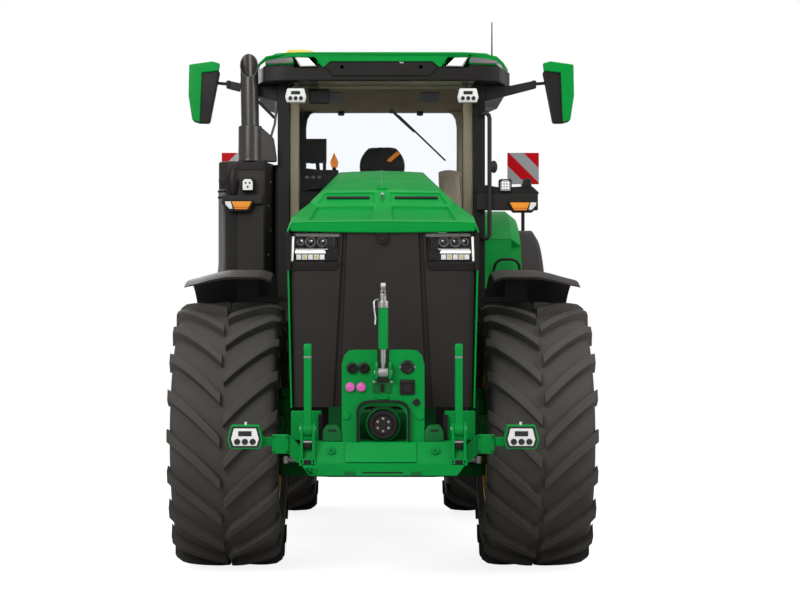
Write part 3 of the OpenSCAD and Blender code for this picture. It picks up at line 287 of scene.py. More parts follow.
# The same sheeting in its pale stripes, and the grey faces of small lamps
GREY_SHEET = Finish("reflective_sheet_grey", "#a5a5a8", "#9c9c9f", 0.3, grain_mm=5, grain_depth=0.05,
                    coat=0.3)
# Receiver dome's yellow plastic
DOME = Finish("receiver_dome_plastic", "#f2c41a", "#ebba14", 0.32, grain_mm=4, grain_depth=0.03, coat=0.2)
# Pink dust caps of the hydraulic couplers
PINK = Finish("pink_dust_cap", "#dd62b6", "#d458ab", 0.45, grain_mm=3, grain_depth=0.08)
# Orange webbing and switch caps, with a glow that is painted light to lift them out of the cab's shade
ORANGE = Finish("orange_webbing_painted_glow", "#e6862a", "#dc7a20", 0.7, grain_mm=2.5, grain_depth=0.2, glow=0.25)
# Silvered mirror glass
MIRROR = Finish("silvered_mirror", "#e8eaeb", "#e2e4e5", 0.03, metallic=1.0, grain_depth=0.0,
                rough_spread=0.0)
# Smoked polycarbonate: a dark grey half gloss, over lamps and on small mouldings
SMOKED = Finish("smoked_polycarbonate", "#6c6a69", "#5e5c5b", 0.22, grain_depth=0.0, coat=0.3)
# Yellow phosphor on the chips of a lamp
PHOSPHOR = Finish("phosphor_coated_chip", "#c9c07a", "#bcb26c", 0.4, grain_depth=0.0, glow=0.1)
# Heat-proof enamel on the stack: black, and glossier than the powder-coated brackets
STACK = Finish("heat_proof_enamel", "#393532", "#322e2b", 0.27, gleam=0.55, grain_mm=3, grain_depth=0.04)
# Front of a display: dark glass
SCREEN = Finish("display_glass", "#15171a", "#101215", 0.12, grain_depth=0.0, coat=0.6)


class Shape:
    """A mesh under construction, in millimetres, in the tractor's frame."""

    def __init__(self) -> None:
        """Starts with nothing."""
        self.bm = bmesh.new()

    def _claim(self, before: set, tint: int) -> list[bmesh.types.BMFace]:
        """Gives the faces made since then a finish number, and returns them."""
        new = [f for f in self.bm.faces if f not in before]
        for f in new:
            f.material_index = tint
        return new

    def soften(self, faces: Iterable[bmesh.types.BMFace], width: float, segments: int = 2,
               angle: float = 25) -> None:
        """Bevels the sharp edges among these faces."""
        edges = {e for f in faces for e in f.edges if len(e.link_faces) == 2
                 and e.calc_face_angle(0.0) > math.radians(angle)}
        if width and edges:
            bevel_edges(self.bm, edges, width, segments)

    def take(self, other: bmesh.types.BMesh) -> None:
        """Adds another mesh to this one, and frees the other."""
        held = bpy.data.meshes.new("held")
        other.to_mesh(held)
        other.free()
        self.bm.from_mesh(held)
        bpy.data.meshes.remove(held)

    def block(self, x: Pair, y: Pair, z: Pair, bevel: float = 4, tint: int = 0) -> list:
        """Adds a block between low and high corners, with rounded edges."""
        before = set(self.bm.faces)
        size = Matrix.Diagonal((x[1] - x[0], y[1] - y[0], z[1] - z[0], 1))
        middle = Matrix.Translation(((x[0] + x[1]) / 2, (y[0] + y[1]) / 2, (z[0] + z[1]) / 2))
        bmesh.ops.create_cube(self.bm, size=1, matrix=middle @ size)
        self.soften(self._claim(before, tint), bevel)
        return self._claim(before, tint)

    def prism(self, outline: Sequence[Pair], axis: str, span: Pair, bevel: float = 4, tint: int = 0,
              shrink: float = 0.0) -> list:
        """Extrudes a flat outline.

        Args:
            outline: Points in the plane across the axis, in the order of the remaining two of x, y and z.
            axis: "X", "Y" or "Z".
            span: Start and end along the axis.
            bevel: Width of the rounded edges.
            tint: Finish number.
            shrink: How far the far end is inset.

        Returns:
            The new faces.
        """
        before = set(self.bm.faces)
        k = "XYZ".index(axis)
        verts = []
        for p in outline:
            q = list(p)
            q.insert(k, span[0])
            verts.append(self.bm.verts.new(q))
        face = self.bm.faces.new(verts)
        out = bmesh.ops.extrude_face_region(self.bm, geom=[face])
        top = only(out["geom"], bmesh.types.BMVert)
        move = [0.0, 0.0, 0.0]
        move[k] = span[1] - span[0]
        bmesh.ops.translate(self.bm, verts=top, vec=move)
        if shrink:
            cap = only(out["geom"], bmesh.types.BMFace)
            bmesh.ops.inset_region(self.bm, faces=cap, thickness=shrink, use_even_offset=True)
        new = self._claim(before, tint)
        bmesh.ops.recalc_face_normals(self.bm, faces=new)
        self.soften(new, bevel)
        return self._claim(before, tint)

    def rod(self, a: Point, b: Point, r: float, tip: float | None = None, segments: int = 24,
            bevel: float = 2, tint: int = 0) -> list:
        """Adds a round bar from a to b, with radius r at a and tip at b."""
        before = set(self.bm.faces)
        start, run = Vector(a), Vector(b) - Vector(a)
        turn = Vector((0, 0, 1)).rotation_difference(run.normalized()).to_matrix().to_4x4()
        bmesh.ops.create_cone(self.bm, cap_ends=True, segments=segments, radius1=r,
                              radius2=r if tip is None else tip, depth=run.length,
                              matrix=Matrix.Translation(start + run / 2) @ turn)
        self.soften(self._claim(before, tint), bevel, 2, 40)
        return self._claim(before, tint)

    def lathe(self, profile: Sequence[Pair], centre: Point, axis: str, steps: int = 64, turn: Pair = (0, 360),
              tint: int = 0, closed: bool = False) -> list:
        """Spins a profile of (radius, offset along the axis) points round an axis.

        Args:
            profile: Points from one end of the outline to the other.
            centre: Point on the axis that offsets count from.
            axis: "X", "Y" or "Z".
            steps: Facets round the turn.
            turn: Start and end angle; about X they count rearwards from straight up.
            tint: Finish number.
            closed: Whether the profile's last point joins its first.

        Returns:
            The new faces.
        """
        before = set(self.bm.faces)
        along = Vector([1.0 if c == axis else 0.0 for c in "XYZ"])
        out = Vector((0, 0, 1)) if axis != "Z" else Vector((1, 0, 0))
        sign = -1 if axis == "X" else 1
        first = Matrix.Rotation(math.radians(turn[0]) * sign, 3, along)
        mid = Vector(centre)
        verts = [self.bm.verts.new(mid + first @ (out * r + along * t)) for r, t in profile]
        edges = [self.bm.edges.new(p) for p in zip(verts, verts[1:])]
        full = abs(turn[1] - turn[0]) >= 360
        if closed:
            edges.append(self.bm.edges.new((verts[-1], verts[0])))
        bmesh.ops.spin(self.bm, geom=verts + edges, cent=mid, axis=along,
                       angle=math.radians(turn[1] - turn[0]) * sign, steps=steps, use_merge=full)
        new = self._claim(before, tint)
        spots = list({v for f in new for v in f.verts})
        bmesh.ops.remove_doubles(self.bm, verts=spots, dist=0.01)
        new = self._claim(before, tint)
        if closed and not full:
            rim = [e for f in new for e in f.edges if len(e.link_faces) == 1]
            bmesh.ops.holes_fill(self.bm, edges=list(set(rim)))
            new = self._claim(before, tint)
        bmesh.ops.recalc_face_normals(self.bm, faces=new)
        return new

    def pipe(self, path: Sequence[Point], r: float, segments: int = 12, tint: int = 0) -> list:
        """Adds a round tube that follows a path of points."""
        before = set(self.bm.faces)
        spots = [Vector(p) for p in path]
        rings = []
        side = None
        for i, p in enumerate(spots):
            way = (spots[min(i + 1, len(spots) - 1)] - spots[max(i - 1, 0)]).normalized()
            if side is None:
                side = way.orthogonal().normalized()
            side = (side - way * side.dot(way)).normalized()
            turn = Matrix((side, way.cross(side), way)).transposed().to_4x4()
            ring = bmesh.ops.create_circle(self.bm, segments=segments, radius=r,
                                           matrix=Matrix.Translation(p) @ turn)
            rings.append(ring["verts"])
        for a, b in zip(rings, rings[1:]):
            bmesh.ops.bridge_loops(self.bm, edges=loop_edges(a) + loop_edges(b))
        for ring in (rings[0], rings[-1]):
            bmesh.ops.contextual_create(self.bm, geom=loop_edges(ring))
        new = self._claim(before, tint)
        bmesh.ops.recalc_face_normals(self.bm, faces=new)
        return new

    def bolt(self, at: Point, way: Point, r: float = 11, h: float = 9, tint: int = 0) -> None:
        """Adds a hexagon bolt head on its washer."""
        a, d = Vector(at), Vector(way).normalized()
        self.rod(a, a + d * 3, r * 1.45, segments=16, bevel=0.8, tint=tint)
        self.rod(a, a + d * (h + 3), r, segments=6, bevel=1.2, tint=tint)

    def ball(self, at: Point, size: Point, tint: int = 0, rows: int = 10) -> list:
        """Adds an ellipsoid with the given half sizes."""
        before = set(self.bm.faces)
        bmesh.ops.create_uvsphere(self.bm, u_segments=2 * rows, v_segments=rows, radius=1,
                                  matrix=Matrix.Translation(at) @ Matrix.Diagonal((*size, 1)))
        return self._claim(before, tint)

    def node(self, name: str, bevel: float = 4, tint: int = 0, segments: int = 2) -> list:
        """Adds a copy of a solid, merged, with its flat faces whole and its sharp edges rounded."""
        before = set(self.bm.faces)
        copy = bmesh.new()
        copy.from_mesh(frame["nodes"][name].data)
        bmesh.ops.scale(copy, vec=(1 / MM,) * 3, verts=copy.verts)
        bmesh.ops.remove_doubles(copy, verts=copy.verts, dist=0.02)
        bmesh.ops.dissolve_limit(copy, angle_limit=math.radians(1), verts=copy.verts, edges=copy.edges)
        self.take(copy)
        self.soften(self._claim(before, tint), bevel, segments, 32)
        return self._claim(before, tint)

    def mirror(self) -> None:
        """Adds the mirror image of everything on the other side of the tractor."""
        copy = bmesh.ops.duplicate(self.bm, geom=whole(self.bm))["geom"]
        self.flip(copy)

    def flip(self, geom: list) -> None:
        """Mirrors some of the geometry from one side of the tractor to the other, in place."""
        bmesh.ops.scale(self.bm, vec=(-1, 1, 1), verts=only(geom, bmesh.types.BMVert))
        bmesh.ops.reverse_faces(self.bm, faces=only(geom, bmesh.types.BMFace))

    def warp(self, faces: Iterable[bmesh.types.BMFace], rule: Callable[[Vector], Vector]) -> None:
        """Moves each corner of these faces by a rule."""
        for v in {v for f in faces for v in f.verts}:
            v.co = rule(v.co)

    def piece(self, name: str, body: str, finishes: Sequence[Finish], replaces: Sequence[str] = (),
              smooth: float = 38) -> bpy.types.Object:
        """Turns the shape into a piece of the tractor.

        Args:
            name: Name of the piece.
            body: Body that it moves with.
            finishes: Finish for each finish number.
            replaces: Solids that it stands for.
            smooth: Angle in degrees up to which shading is smooth.

        Returns:
            The new object.
        """
        bmesh.ops.scale(self.bm, vec=(MM,) * 3, verts=self.bm.verts)
        for f in self.bm.faces:
            f.smooth = True
        mesh = bpy.data.meshes.new(name)
        self.bm.to_mesh(mesh)
        self.bm.free()
        for finish in finishes:
            mesh.materials.append(finish.material())
        mesh.set_sharp_from_angle(angle=math.radians(smooth))
        obj = bpy.data.objects.new(name, mesh)
        bpy.context.scene.collection.objects.link(obj)
        even = obj.modifiers.new("face_weight", "WEIGHTED_NORMAL")
        even.keep_sharp = True
        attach(obj, body)
        if replaces:
            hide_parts(*replaces)
        LOG.info("%s: %d faces on %s", name, len(mesh.polygons), body)
        return obj


@dataclass
class Wheel:
    """A lugged tyre on a dished steel rim."""
    name: str
    side: int
    radius: float
    width: float
    rim: float
    track: float
    y: float
    lugs: int
    disc: float
    hub: float
    hub_out: float
    lug_height: float = 48
    lug_width: float = 76
    sweep: float = 0.36

    @property
    def centre(self) -> Point:
        """The middle of the tyre."""
        return self.side * self.track / 2, self.y, self.radius

    def body(self) -> str:
        """Name of the wheel's body."""
        return f"wheel_{self.name}"

    def carcass(self, shape: Shape) -> None:
        """Spins the tyre's wall, with a bead ring and a stepped rib on the sidewall."""
        seat, tread, half = 0.42 * self.width, self.radius - self.lug_height, self.width / 2 - 6
        h = tread - self.rim
        out = [(self.rim, seat), (self.rim + 20, seat + 1), (self.rim + 34, seat), (self.rim + 40, seat + 4),
               (self.rim + 0.16 * h, half - 26), (self.rim + 0.27 * h, half - 12),
               (self.rim + 0.29 * h, half - 5), (self.rim + 0.33 * h, half - 5),
               (self.rim + 0.35 * h, half - 7), (self.rim + 0.55 * h, half), (self.rim + 0.72 * h, half - 5),
               (tread - 0.16 * h, half - 12), (tread - 0.08 * h, half - 24), (tread - 14, half - 46),
               (tread - 5, half * 0.72), (tread, half * 0.4), (tread + 1, 0)]
        profile = out + [(r, -t) for r, t in reversed(out[:-1])]
        shape.lathe(profile, self.centre, "X", 112)

    def lug(self, shape: Shape) -> None:
        """Makes one lug in an empty shape, at the top of the tread and bent round it."""
        grid = bmesh.ops.create_grid(shape.bm, x_segments=8, y_segments=1, size=1)
        faces = list({f for v in grid["verts"] for f in v.link_faces})
        top = bmesh.ops.extrude_face_region(shape.bm, geom=faces)["geom"]
        bmesh.ops.translate(shape.bm, verts=only(top, bmesh.types.BMVert), vec=(0, 0, 1))
        run = self.sweep * self.radius
        tread = self.radius - self.lug_height
        first, last = 8.0, self.width / 2 - 3

        def bend(p: Vector) -> Vector:
            """Place of a corner given along, across and up the lug."""
            t, across, up = (p.x + 1) / 2, p.y, p.z
            edge = max(0.0, t - 0.8) / 0.2
            if up > 0.5:
                r, wide = self.radius - 1 - 15 * t * t - 26 * edge ** 2, self.lug_width * (0.86 + 0.1 * t)
            else:
                r, wide = tread - 14 - 26 * t * t - 50 * edge, self.lug_width * (1.14 + 0.1 * t)
            arc = (run * (1.16 * t - 0.16 * t * t) + across * wide / 2) / self.radius
            axial = first + t * (last - first) + (3 if up < 0.5 else 0) * edge
            return Vector((axial, r * math.sin(arc), r * math.cos(arc)))

        shape.warp(shape.bm.faces, bend)
        bmesh.ops.recalc_face_normals(shape.bm, faces=shape.bm.faces[:])
        ridge = [e for e in shape.bm.edges if e.calc_face_angle(0.0) > math.radians(40)
                 and all(v.co.yz.length > tread + 4 for v in e.verts)]
        bevel_edges(shape.bm, ridge, 6, 2)

    def tyre(self) -> None:
        """Builds the tyre with its lugs in two staggered rows."""
        shape = Shape()
        rows = Shape()
        self.lug(rows)
        seed = whole(rows.bm)
        step = 2 * math.pi / self.lugs
        for hand, lag in ((1, 0), (-1, 0.5)):
            for i in range(self.lugs):
                copy = bmesh.ops.duplicate(rows.bm, geom=seed)["geom"]
                if hand < 0:
                    rows.flip(copy)
                turn = Matrix.Rotation((i + lag) * step, 3, "X")
                bmesh.ops.rotate(rows.bm, cent=(0, 0, 0), matrix=turn, verts=only(copy, bmesh.types.BMVert))
        bmesh.ops.delete(rows.bm, geom=seed, context="VERTS")
        if self.side < 0:
            rows.flip(whole(rows.bm))
        bmesh.ops.translate(rows.bm, verts=rows.bm.verts, vec=self.centre)
        self.carcass(shape)
        shape.take(rows.bm)
        name = f"tyre_{self.name}"
        shape.piece(f"{name}_lugged", self.body(), [RUBBER], [name], 42)

    def rim_piece(self, shaft: Pair | None) -> None:
        """Builds the rim: barrel, flanges, dished disc with bolts, and hub."""
        shape = Shape()
        seat, t = 0.42 * self.width, 14
        x = self.centre[0]
        s = self.side
        r = self.rim - 1

        def place(profile: Sequence[Pair]) -> list[Pair]:
            """Turns offsets counted outwards into offsets along X."""
            return [(a, b * s) for a, b in profile]

        barrel = [(r, -seat - 1), (r + 26, -seat - 1), (r + 27, -seat - 10), (r + 22, -seat - t),
                  (r - 6, -seat - t), (r - t, -seat - 8), (r - t, -seat * 0.5), (r - 46, -seat * 0.3),
                  (r - 46, self.disc - 40), (r - t - 8, self.disc + 20), (r - t, seat * 0.8),
                  (r - 6, seat + t), (r + 22, seat + t), (r + 27, seat + 10),
                  (r + 26, seat + 1), (r, seat + 1)]
        shape.lathe(place(barrel), self.centre, "X", 96, closed=True)
        wide = r - 40
        disc = [(0, self.disc - 22), (wide * 0.5, self.disc - 22), (wide * 0.62, self.disc - 36),
                (wide, self.disc - 34), (wide, self.disc - 14), (wide * 0.64, self.disc - 14),
                (wide * 0.52, self.disc), (0, self.disc)]
        shape.lathe(place(disc), self.centre, "X", 96)
        hub = [(self.hub, self.disc - 30), (self.hub, self.disc + 26), (self.hub - 12, self.disc + 34),
               (self.hub * 0.74, self.disc + 38), (self.hub * 0.7, self.hub_out - 18),
               (self.hub * 0.62, self.hub_out - 4), (0, self.hub_out - 4)]
        shape.lathe(place(hub), self.centre, "X", 64, tint=1)
        for i in range(12):
            z, y = circle(1, 30 * i)
            for ring, lift, size in ((wide * 0.44, 0, 13), (self.hub * 0.86, 34, 8)):
                spot = (x + s * (self.disc + lift), self.centre[1] + ring * y, self.centre[2] + ring * z)
                shape.bolt(spot, (s, 0, 0), size, 14, 2)
        for i in range(8):
            z, y = circle(wide * 0.84, 45 * i + 22.5)
            spot = (x + s * (self.disc - 14), self.centre[1] + y, self.centre[2] + z)
            shape.bolt(spot, (s, 0, 0), 14, 16, 2)
        if shaft:
            shape.rod((s * shaft[0], *self.centre[1:]), (s * shaft[1], *self.centre[1:]), 60, bevel=6, tint=2)
            for k in range(3):
                a = x + s * (self.disc - 150 + 60 * k)
                shape.rod((a, *self.centre[1:]), (a + s * 40, *self.centre[1:]), 150, bevel=8, tint=1)
        shape.piece(f"rim_{self.name}_dished", self.body(), [RIM_PAINT, CAST_PAINT, STEEL],
                    [f"rim_{self.name}"])

    def build(self, shaft: Pair | None = None) -> None:
        """Builds the tyre and the rim."""
        self.tyre()
        self.rim_piece(shaft)


@dataclass
class FrontFender:
    """Moulded mudguard that steers with its wheel."""
    side: int
    radius: float = 1020
    axle_z: float = 822
    turn: Pair = (-18, 62)

    def build(self) -> None:
        """Spins the crowned section over the tyre, thinner towards its outer edge."""
        name = "left" if self.side > 0 else "right"
        r, t = self.radius, 15
        top = [(r - 22, 677), (r - 12, 702), (r - 2, 732), (r, 760), (r, 900), (r - 2, 955), (r - 21, 1045),
               (r - 45, 1130), (r - 60, 1190), (r - 65, 1205)]
        under = [(a - t * min(1.0, 0.3 + (1205 - b) / 260), b - (2 if b > 1200 else 0))
                 for a, b in reversed(top)]
        shape = Shape()
        shape.lathe([(a, b * self.side) for a, b in top + under], (0, FRONT_Y, self.axle_z), "X", 40,
                    self.turn, closed=True)
        shape.piece(f"front_fender_{name}_moulded", f"steering_knuckle_{name}", [PLASTIC],
                    [f"front_fender_{name}"], 50)


@dataclass
class Hood:
    """Hood shell with its grille and headlights, which lift together."""
    nose: float = 1085
    lean: float = 115
    nose_top: float = 2086
    lip: float = 62
    low: float = 1030
    body: str = "hood"
    # Distance ahead of the front axle, then (x, z) of lower edge, side, shoulder, ridge, panel edge and rib
    stations: tuple = (
        (1085, (526, 1030), (540, 1850), (542, 2031), (520, 2079), (440, 2084), (40, 2087)),
        (1062, (526, 1030), (540, 1850), (542, 2036), (521, 2090), (440, 2092), (40, 2096)),
        (1040, (526, 1030), (540, 1850), (541, 2038), (519, 2096), (438, 2097), (40, 2102)),
        (890, (526, 1030), (540, 1850), (540, 2051), (521, 2126), (428, 2122), (40, 2128)),
        (878, (525, 1734), (539, 1850), (540, 2052), (520, 2129), (427, 2124), (40, 2130)),
        (330, (493, 1728), (508, 1926), (500, 2122), (440, 2240), (410, 2220), (40, 2224)),
        (300, (492, 1728), (506, 1930), (498, 2126), (436, 2246), (406, 2228), (40, 2232)),
        (226, (489, 1728), (503, 1939), (494, 2133), (436, 2256), (356, 2312), (40, 2316)),
        (205, (488, 1728), (502, 1941), (493, 2136), (434, 2262), (350, 2322), (40, 2328)),
        (-1000, (436, 1722), (450, 2100), (430, 2298), (285, 2532), (200, 2537), (40, 2542)))

    def y_at(self, u: float, z: float) -> float:
        """Y of a place on the hood: its nose leans back below the lip."""
        low_part = max(0.0, self.nose_top - self.lip - z) / (self.nose_top - self.lip - self.low)
        return ahead(u - (self.lean * low_part if u > 1000 else 0))

    def lay_back(self, shape: Shape, faces: list) -> None:
        """Sets faces built upright back along the leaning nose."""
        shape.warp(faces, lambda p: Vector((p.x, p.y + self.y_at(self.nose, p.z), p.z)))

    def shell(self) -> None:
        """Bridges the stations into a shell, presses its top panels in and thickens it."""
        shape = Shape()
        bm = shape.bm
        rows = []
        for u, *half in self.stations:
            run = [*half, (0, half[-1][1] + 1), *[(-x, z) for x, z in reversed(half)]]
            verts = [bm.verts.new((x, self.y_at(u, z), z)) for x, z in run]
            rows.append([bm.edges.new(p) for p in zip(verts, verts[1:])])
        for a, b in zip(rows, rows[1:]):
            bmesh.ops.bridge_loops(bm, edges=a + b)
        bmesh.ops.recalc_face_normals(bm, faces=bm.faces[:])
        if sum(f.normal.z for f in bm.faces) < 0:
            bmesh.ops.reverse_faces(bm, faces=bm.faces[:])

        def within(face: bmesh.types.BMFace, u: Pair, x: Pair) -> bool:
            """Whether a face's middle lies in this range."""
            c = face.calc_center_median()
            return u[0] < FRONT_Y - c.y < u[1] and x[0] < abs(c.x) < x[1] and face.normal.z > 0.3

        for u, x, depth, rim in (((330, 1040), (100, 330), -20, 14), ((226, 300), (100, 330), -8, 8)):
            for hand in SIDES:
                panel = [f for f in bm.faces if within(f, u, x) and f.calc_center_median().x * hand > 0]
                bmesh.ops.inset_region(bm, faces=panel, thickness=rim, use_even_offset=True)
                bmesh.ops.inset_region(bm, faces=panel, thickness=5, depth=depth, use_even_offset=True)
        crease = math.radians(14)
        long_edges = [e for e in bm.edges if len(e.link_faces) == 2 and e.calc_face_angle(0) > crease]
        bevel_edges(bm, long_edges, 7, 3)
        bmesh.ops.solidify(bm, geom=bm.faces[:], thickness=9)
        shape.prism([(-519, 2082), (519, 2082), (524, 2048), (518, 2032), (260, 2026), (0, 2023),
                     (-260, 2026), (-518, 2032), (-524, 2048)], "Y", (ahead(1084), ahead(1064)), 6)
        for s in SIDES:
            slot = [(ahead(264), 2272), (ahead(254), 2286), (ahead(239), 2276), (ahead(249), 2262)]
            shape.prism(slot, "X", (s * 76, s * 338), 2, 1)
        shape.pipe([(0, ahead(180), 2332), (0, ahead(-400), 2437), (0, ahead(-990), 2541)], 7, 8)
        shape.block((-34, 34), (ahead(205), ahead(120)), (2322, 2348), 8)
        shape.rod((0, ahead(270), 2258), (0, ahead(285), 2292), 9, tint=2)
        shape.ball((0, ahead(286), 2294), (12, 12, 12), 2)
        shape.piece("hood_panels", self.body, [PAINT, TRIM, STEEL], ["hood_shell"], 50)

    def column(self, i: int, z: float) -> tuple[float, float]:
        """Place across the grille and depth of a grid column, counted from the middle, at height z."""
        top, low = self.nose_top - self.lip, self.low + 4
        fall = (top - z) / (top - low)
        crease = 198 + 43 * fall
        edge = 514 + 11 * min(1.0, (z - low) / (1850 - low))
        outer = crease + 32 + 14 * fall
        places = (0.0, crease * 0.55, crease - 6, crease + 2, crease + 10, outer - 10, outer - 2, outer + 8,
                  (outer + edge) / 2, edge - 30, edge - 6, edge)
        depths = (2, 0, -1, 3, 20, 20, 4, 0, -2, 2, 10, 24)
        return places[i], depths[i]

    def grille(self) -> None:
        """Bends a grid into the nose panel, with two creases, and opens it at the lamps."""
        rows = (2023, 1990, 1950, 1905, 1858, 1846, 1800, 1730, 1600, 1450, 1300, 1150, 1060, 1034)
        n = 11
        shape = Shape()
        grid = bmesh.ops.create_grid(shape.bm, x_segments=2 * n, y_segments=len(rows) - 1, size=1)
        for v in grid["verts"]:
            i, z = round(v.co.x * n), rows[round((1 - v.co.y) / 2 * (len(rows) - 1))]
            x, deep = self.column(abs(i), z)
            v.co = (math.copysign(x, i) if i else 0.0, self.y_at(self.nose, z) + 22 + deep, z)
        gone = [f for f in shape.bm.faces if f.calc_center_median().z > 1858
                and abs(f.calc_center_median().x) > self.column(7, f.calc_center_median().z)[0] - 1]
        bmesh.ops.delete(shape.bm, geom=gone, context="FACES")
        bmesh.ops.recalc_face_normals(shape.bm, faces=shape.bm.faces[:])
        if sum(f.normal.y for f in shape.bm.faces) > 0:
            bmesh.ops.reverse_faces(shape.bm, faces=shape.bm.faces[:])
        bmesh.ops.solidify(shape.bm, geom=shape.bm.faces[:], thickness=26)
        y = ahead(self.nose - 12)
        boss = [(x, 1992 + z) for x, z in (circle(34, 180 + 20 * k) for k in range(10))]
        shape.prism(boss + [(34, 2022), (-34, 2022)], "Y", (y - 2, y + 30), 4, 1)
        shape.rod((0, y - 6, 1990), (0, y + 10, 1990), 13, bevel=2, tint=1)
        shape.rod((0, y - 8, 1990), (0, y - 2, 1990), 7, bevel=1, tint=2)
        for s in SIDES:
            bezel = sided(s, ((232, 1856), (517, 1856), (516, 1812), (262, 1812)))
            faces = shape.prism(bezel, "Y", (15, 23), 3, 1)
            side = sided(s, ((519, 1812), (541, 1812), (542, 2028), (521, 2024)))
            faces += shape.prism(side, "Y", (-3, 12), 3, 1)
            self.lay_back(shape, faces)
        shape.piece("nose_grille", self.body, [PLASTIC, TRIM, SCREEN], ["grille"], 30)

    def lamps(self) -> None:
        """Builds both headlights: housing, light strips, reflector cells, projectors and lens, with a painted
        highlight on each outer strip and a painted glint on each projector.
        """
        shape = Shape()
        back = ((252, 1860), (518, 1860), (518, 2022), (238, 2022))
        # The outer strip is chrome that shows white; it takes the glowing LED finish as a painted highlight
        side = ((508, 1866), (518, 1866), (513, 2004), (501, 2004))
        brow = ((246, 2000), (496, 2004), (496, 2021), (240, 2021))
        bar = ((322, 1909), (330, 1926), (496, 1926), (498, 1909))
        for outline, span, bevel, tint in ((back, (66, 72), 1, 0), (side, (26, 60), 2, 1),
                                           (brow, (30, 60), 3, 5), (bar, (28, 58), 3, 1)):
            self.lay_back(shape, shape.prism(outline, "Y", span, bevel, tint))
        self.lay_back(shape, shape.block((312, 494), (34, 64), (1929, 1935), 2, 2))
        for i in range(5):
            x = 330 + 33 * i
            cell = [(x, 1874), (x + 29, 1874), (x + 29, 1904), (x, 1904)]
            self.lay_back(shape, shape.prism(cell, "Y", (62, 48), 1, 2, 4))
            self.lay_back(shape, shape.block((x + 4, x + 25), (44, 52), (1879, 1900), 3, 3 if i % 2 else 6))
        for x, r in ((345, 30), (410, 32), (466, 22)):
            y = self.y_at(self.nose, 1975)
            shape.lathe([(r, 44), (r - 2, 40), (r - 7, 44), (r - 10, 60), (0, 64)], (x, y, 1974), "Y", 32,
                        tint=5)
            shape.ball((x, y + 60, 1974), (r * 0.62, 16, r * 0.62), 4, 8)
            # A small chrome dot high on each projector is a painted glint
            shape.lathe([(6, 0), (5, -3), (0, -4)], (x - 7, y + 45, 1980), "Y", 12, tint=2)
        self.lay_back(shape, shape.block((262, 316), (40, 66), (1935, 2016), 8, 0))
        shape.mirror()
        shape.piece("headlight_inner", self.body,
                    [TRIM, LED, CHROME, PHOSPHOR, SCREEN, SMOKED, WHITE])
        glass = Shape()
        faces = glass.prism([(256, 1859), (519, 1859), (519, 2023), (242, 2023)], "Y", (20, 24), 1.5)
        self.lay_back(glass, faces)
        glass.mirror()
        glass.piece("headlight_lens", self.body, [LENS], ["headlights"])

    def vents(self) -> None:
        """Dark louvred vents in both sides of the hood."""
        shape = Shape()

        def skin(p: Vector) -> Vector:
            """Lays a flat vent on the hood's side, which draws in towards the cab."""
            return Vector((p.x + 539 - (840 + p.y - FRONT_Y) * 0.0485, p.y, p.z))

        for u0, u1, z0, z1 in ((760, 330, 1800, 1985), (180, -820, 1790, 1960)):
            shape.warp(shape.block((-6, 3), (ahead(u0), ahead(u1)), (z0, z1), 3, 1), skin)
            for k in range(7):
                z = z0 + 14 + (z1 - z0 - 28) * k / 6
                shape.warp(shape.block((0, 9), (ahead(u0 - 12), ahead(u1 + 12)), (z - 7, z + 5), 3, 0), skin)
        shape.mirror()
        shape.piece("hood_side_vents", self.body, [TRIM, POWDER])

    def build(self) -> None:
        """Builds the shell, the grille, the lamps and the vents."""
        self.shell()
        self.grille()
        self.lamps()
        self.vents()


def rounded(node: str, body: str, finish: Finish, bevel: float = 4, segments: int = 2) -> None:
    """Replaces a solid by a copy of it with rounded edges, in the given finish."""
    shape = Shape()
    shape.node(node, bevel, 0, segments)
    shape.piece(f"{node}_rounded", body, [finish], [node])


def lamp_face(shape: Shape, at: Point, wide: float, high: float, rim: int, face: int, dark: int,
              deep: float = 70) -> None:
    """Adds a work lamp that faces forward: six-sided housing, white face, dark strip and three cells.

    Args:
        shape: Shape that takes it.
        at: Middle of its front.
        wide: Width over the housing.
        high: Height over the housing.
        rim: Finish number of the housing.
        face: Finish number of the face.
        dark: Finish number of the strip and cells.
        deep: Depth of the housing.
    """
    x, y, z = at

    def hexagon(w: float, h: float) -> list[Pair]:
        """Six-sided outline, wider at its middle."""
        return [(x + w * a, z + h * b) for a, b in ((0.5, -0.12), (0.4, 0.5), (-0.4, 0.5), (-0.5, -0.12),
                                                    (-0.42, -0.5), (0.42, -0.5))]
    shape.prism(hexagon(wide, high), "Y", (y, y + deep), 6, rim)
    if rim != face:
        shape.prism(hexagon(wide - 16, high - 14), "Y", (y - 3, y + 8), 4, dark)
        wide, high = wide - 24, high - 18
    shape.prism(hexagon(wide - 16, high - 16), "Y", (y - 6, y + 8), 5, face)
    shape.block((x - wide * 0.22, x + wide * 0.22), (y - 8, y), (z + high * 0.04, z + high * 0.3), 3, dark)
    for k in (-1, 0, 1):
        c = x + k * wide * 0.25
        shape.lathe([(high * 0.14, -5), (high * 0.15, -9), (high * 0.11, -10), (high * 0.1, -7), (0, -7)],
                    (c, y, z - high * 0.22), "Y", 24, tint=dark)


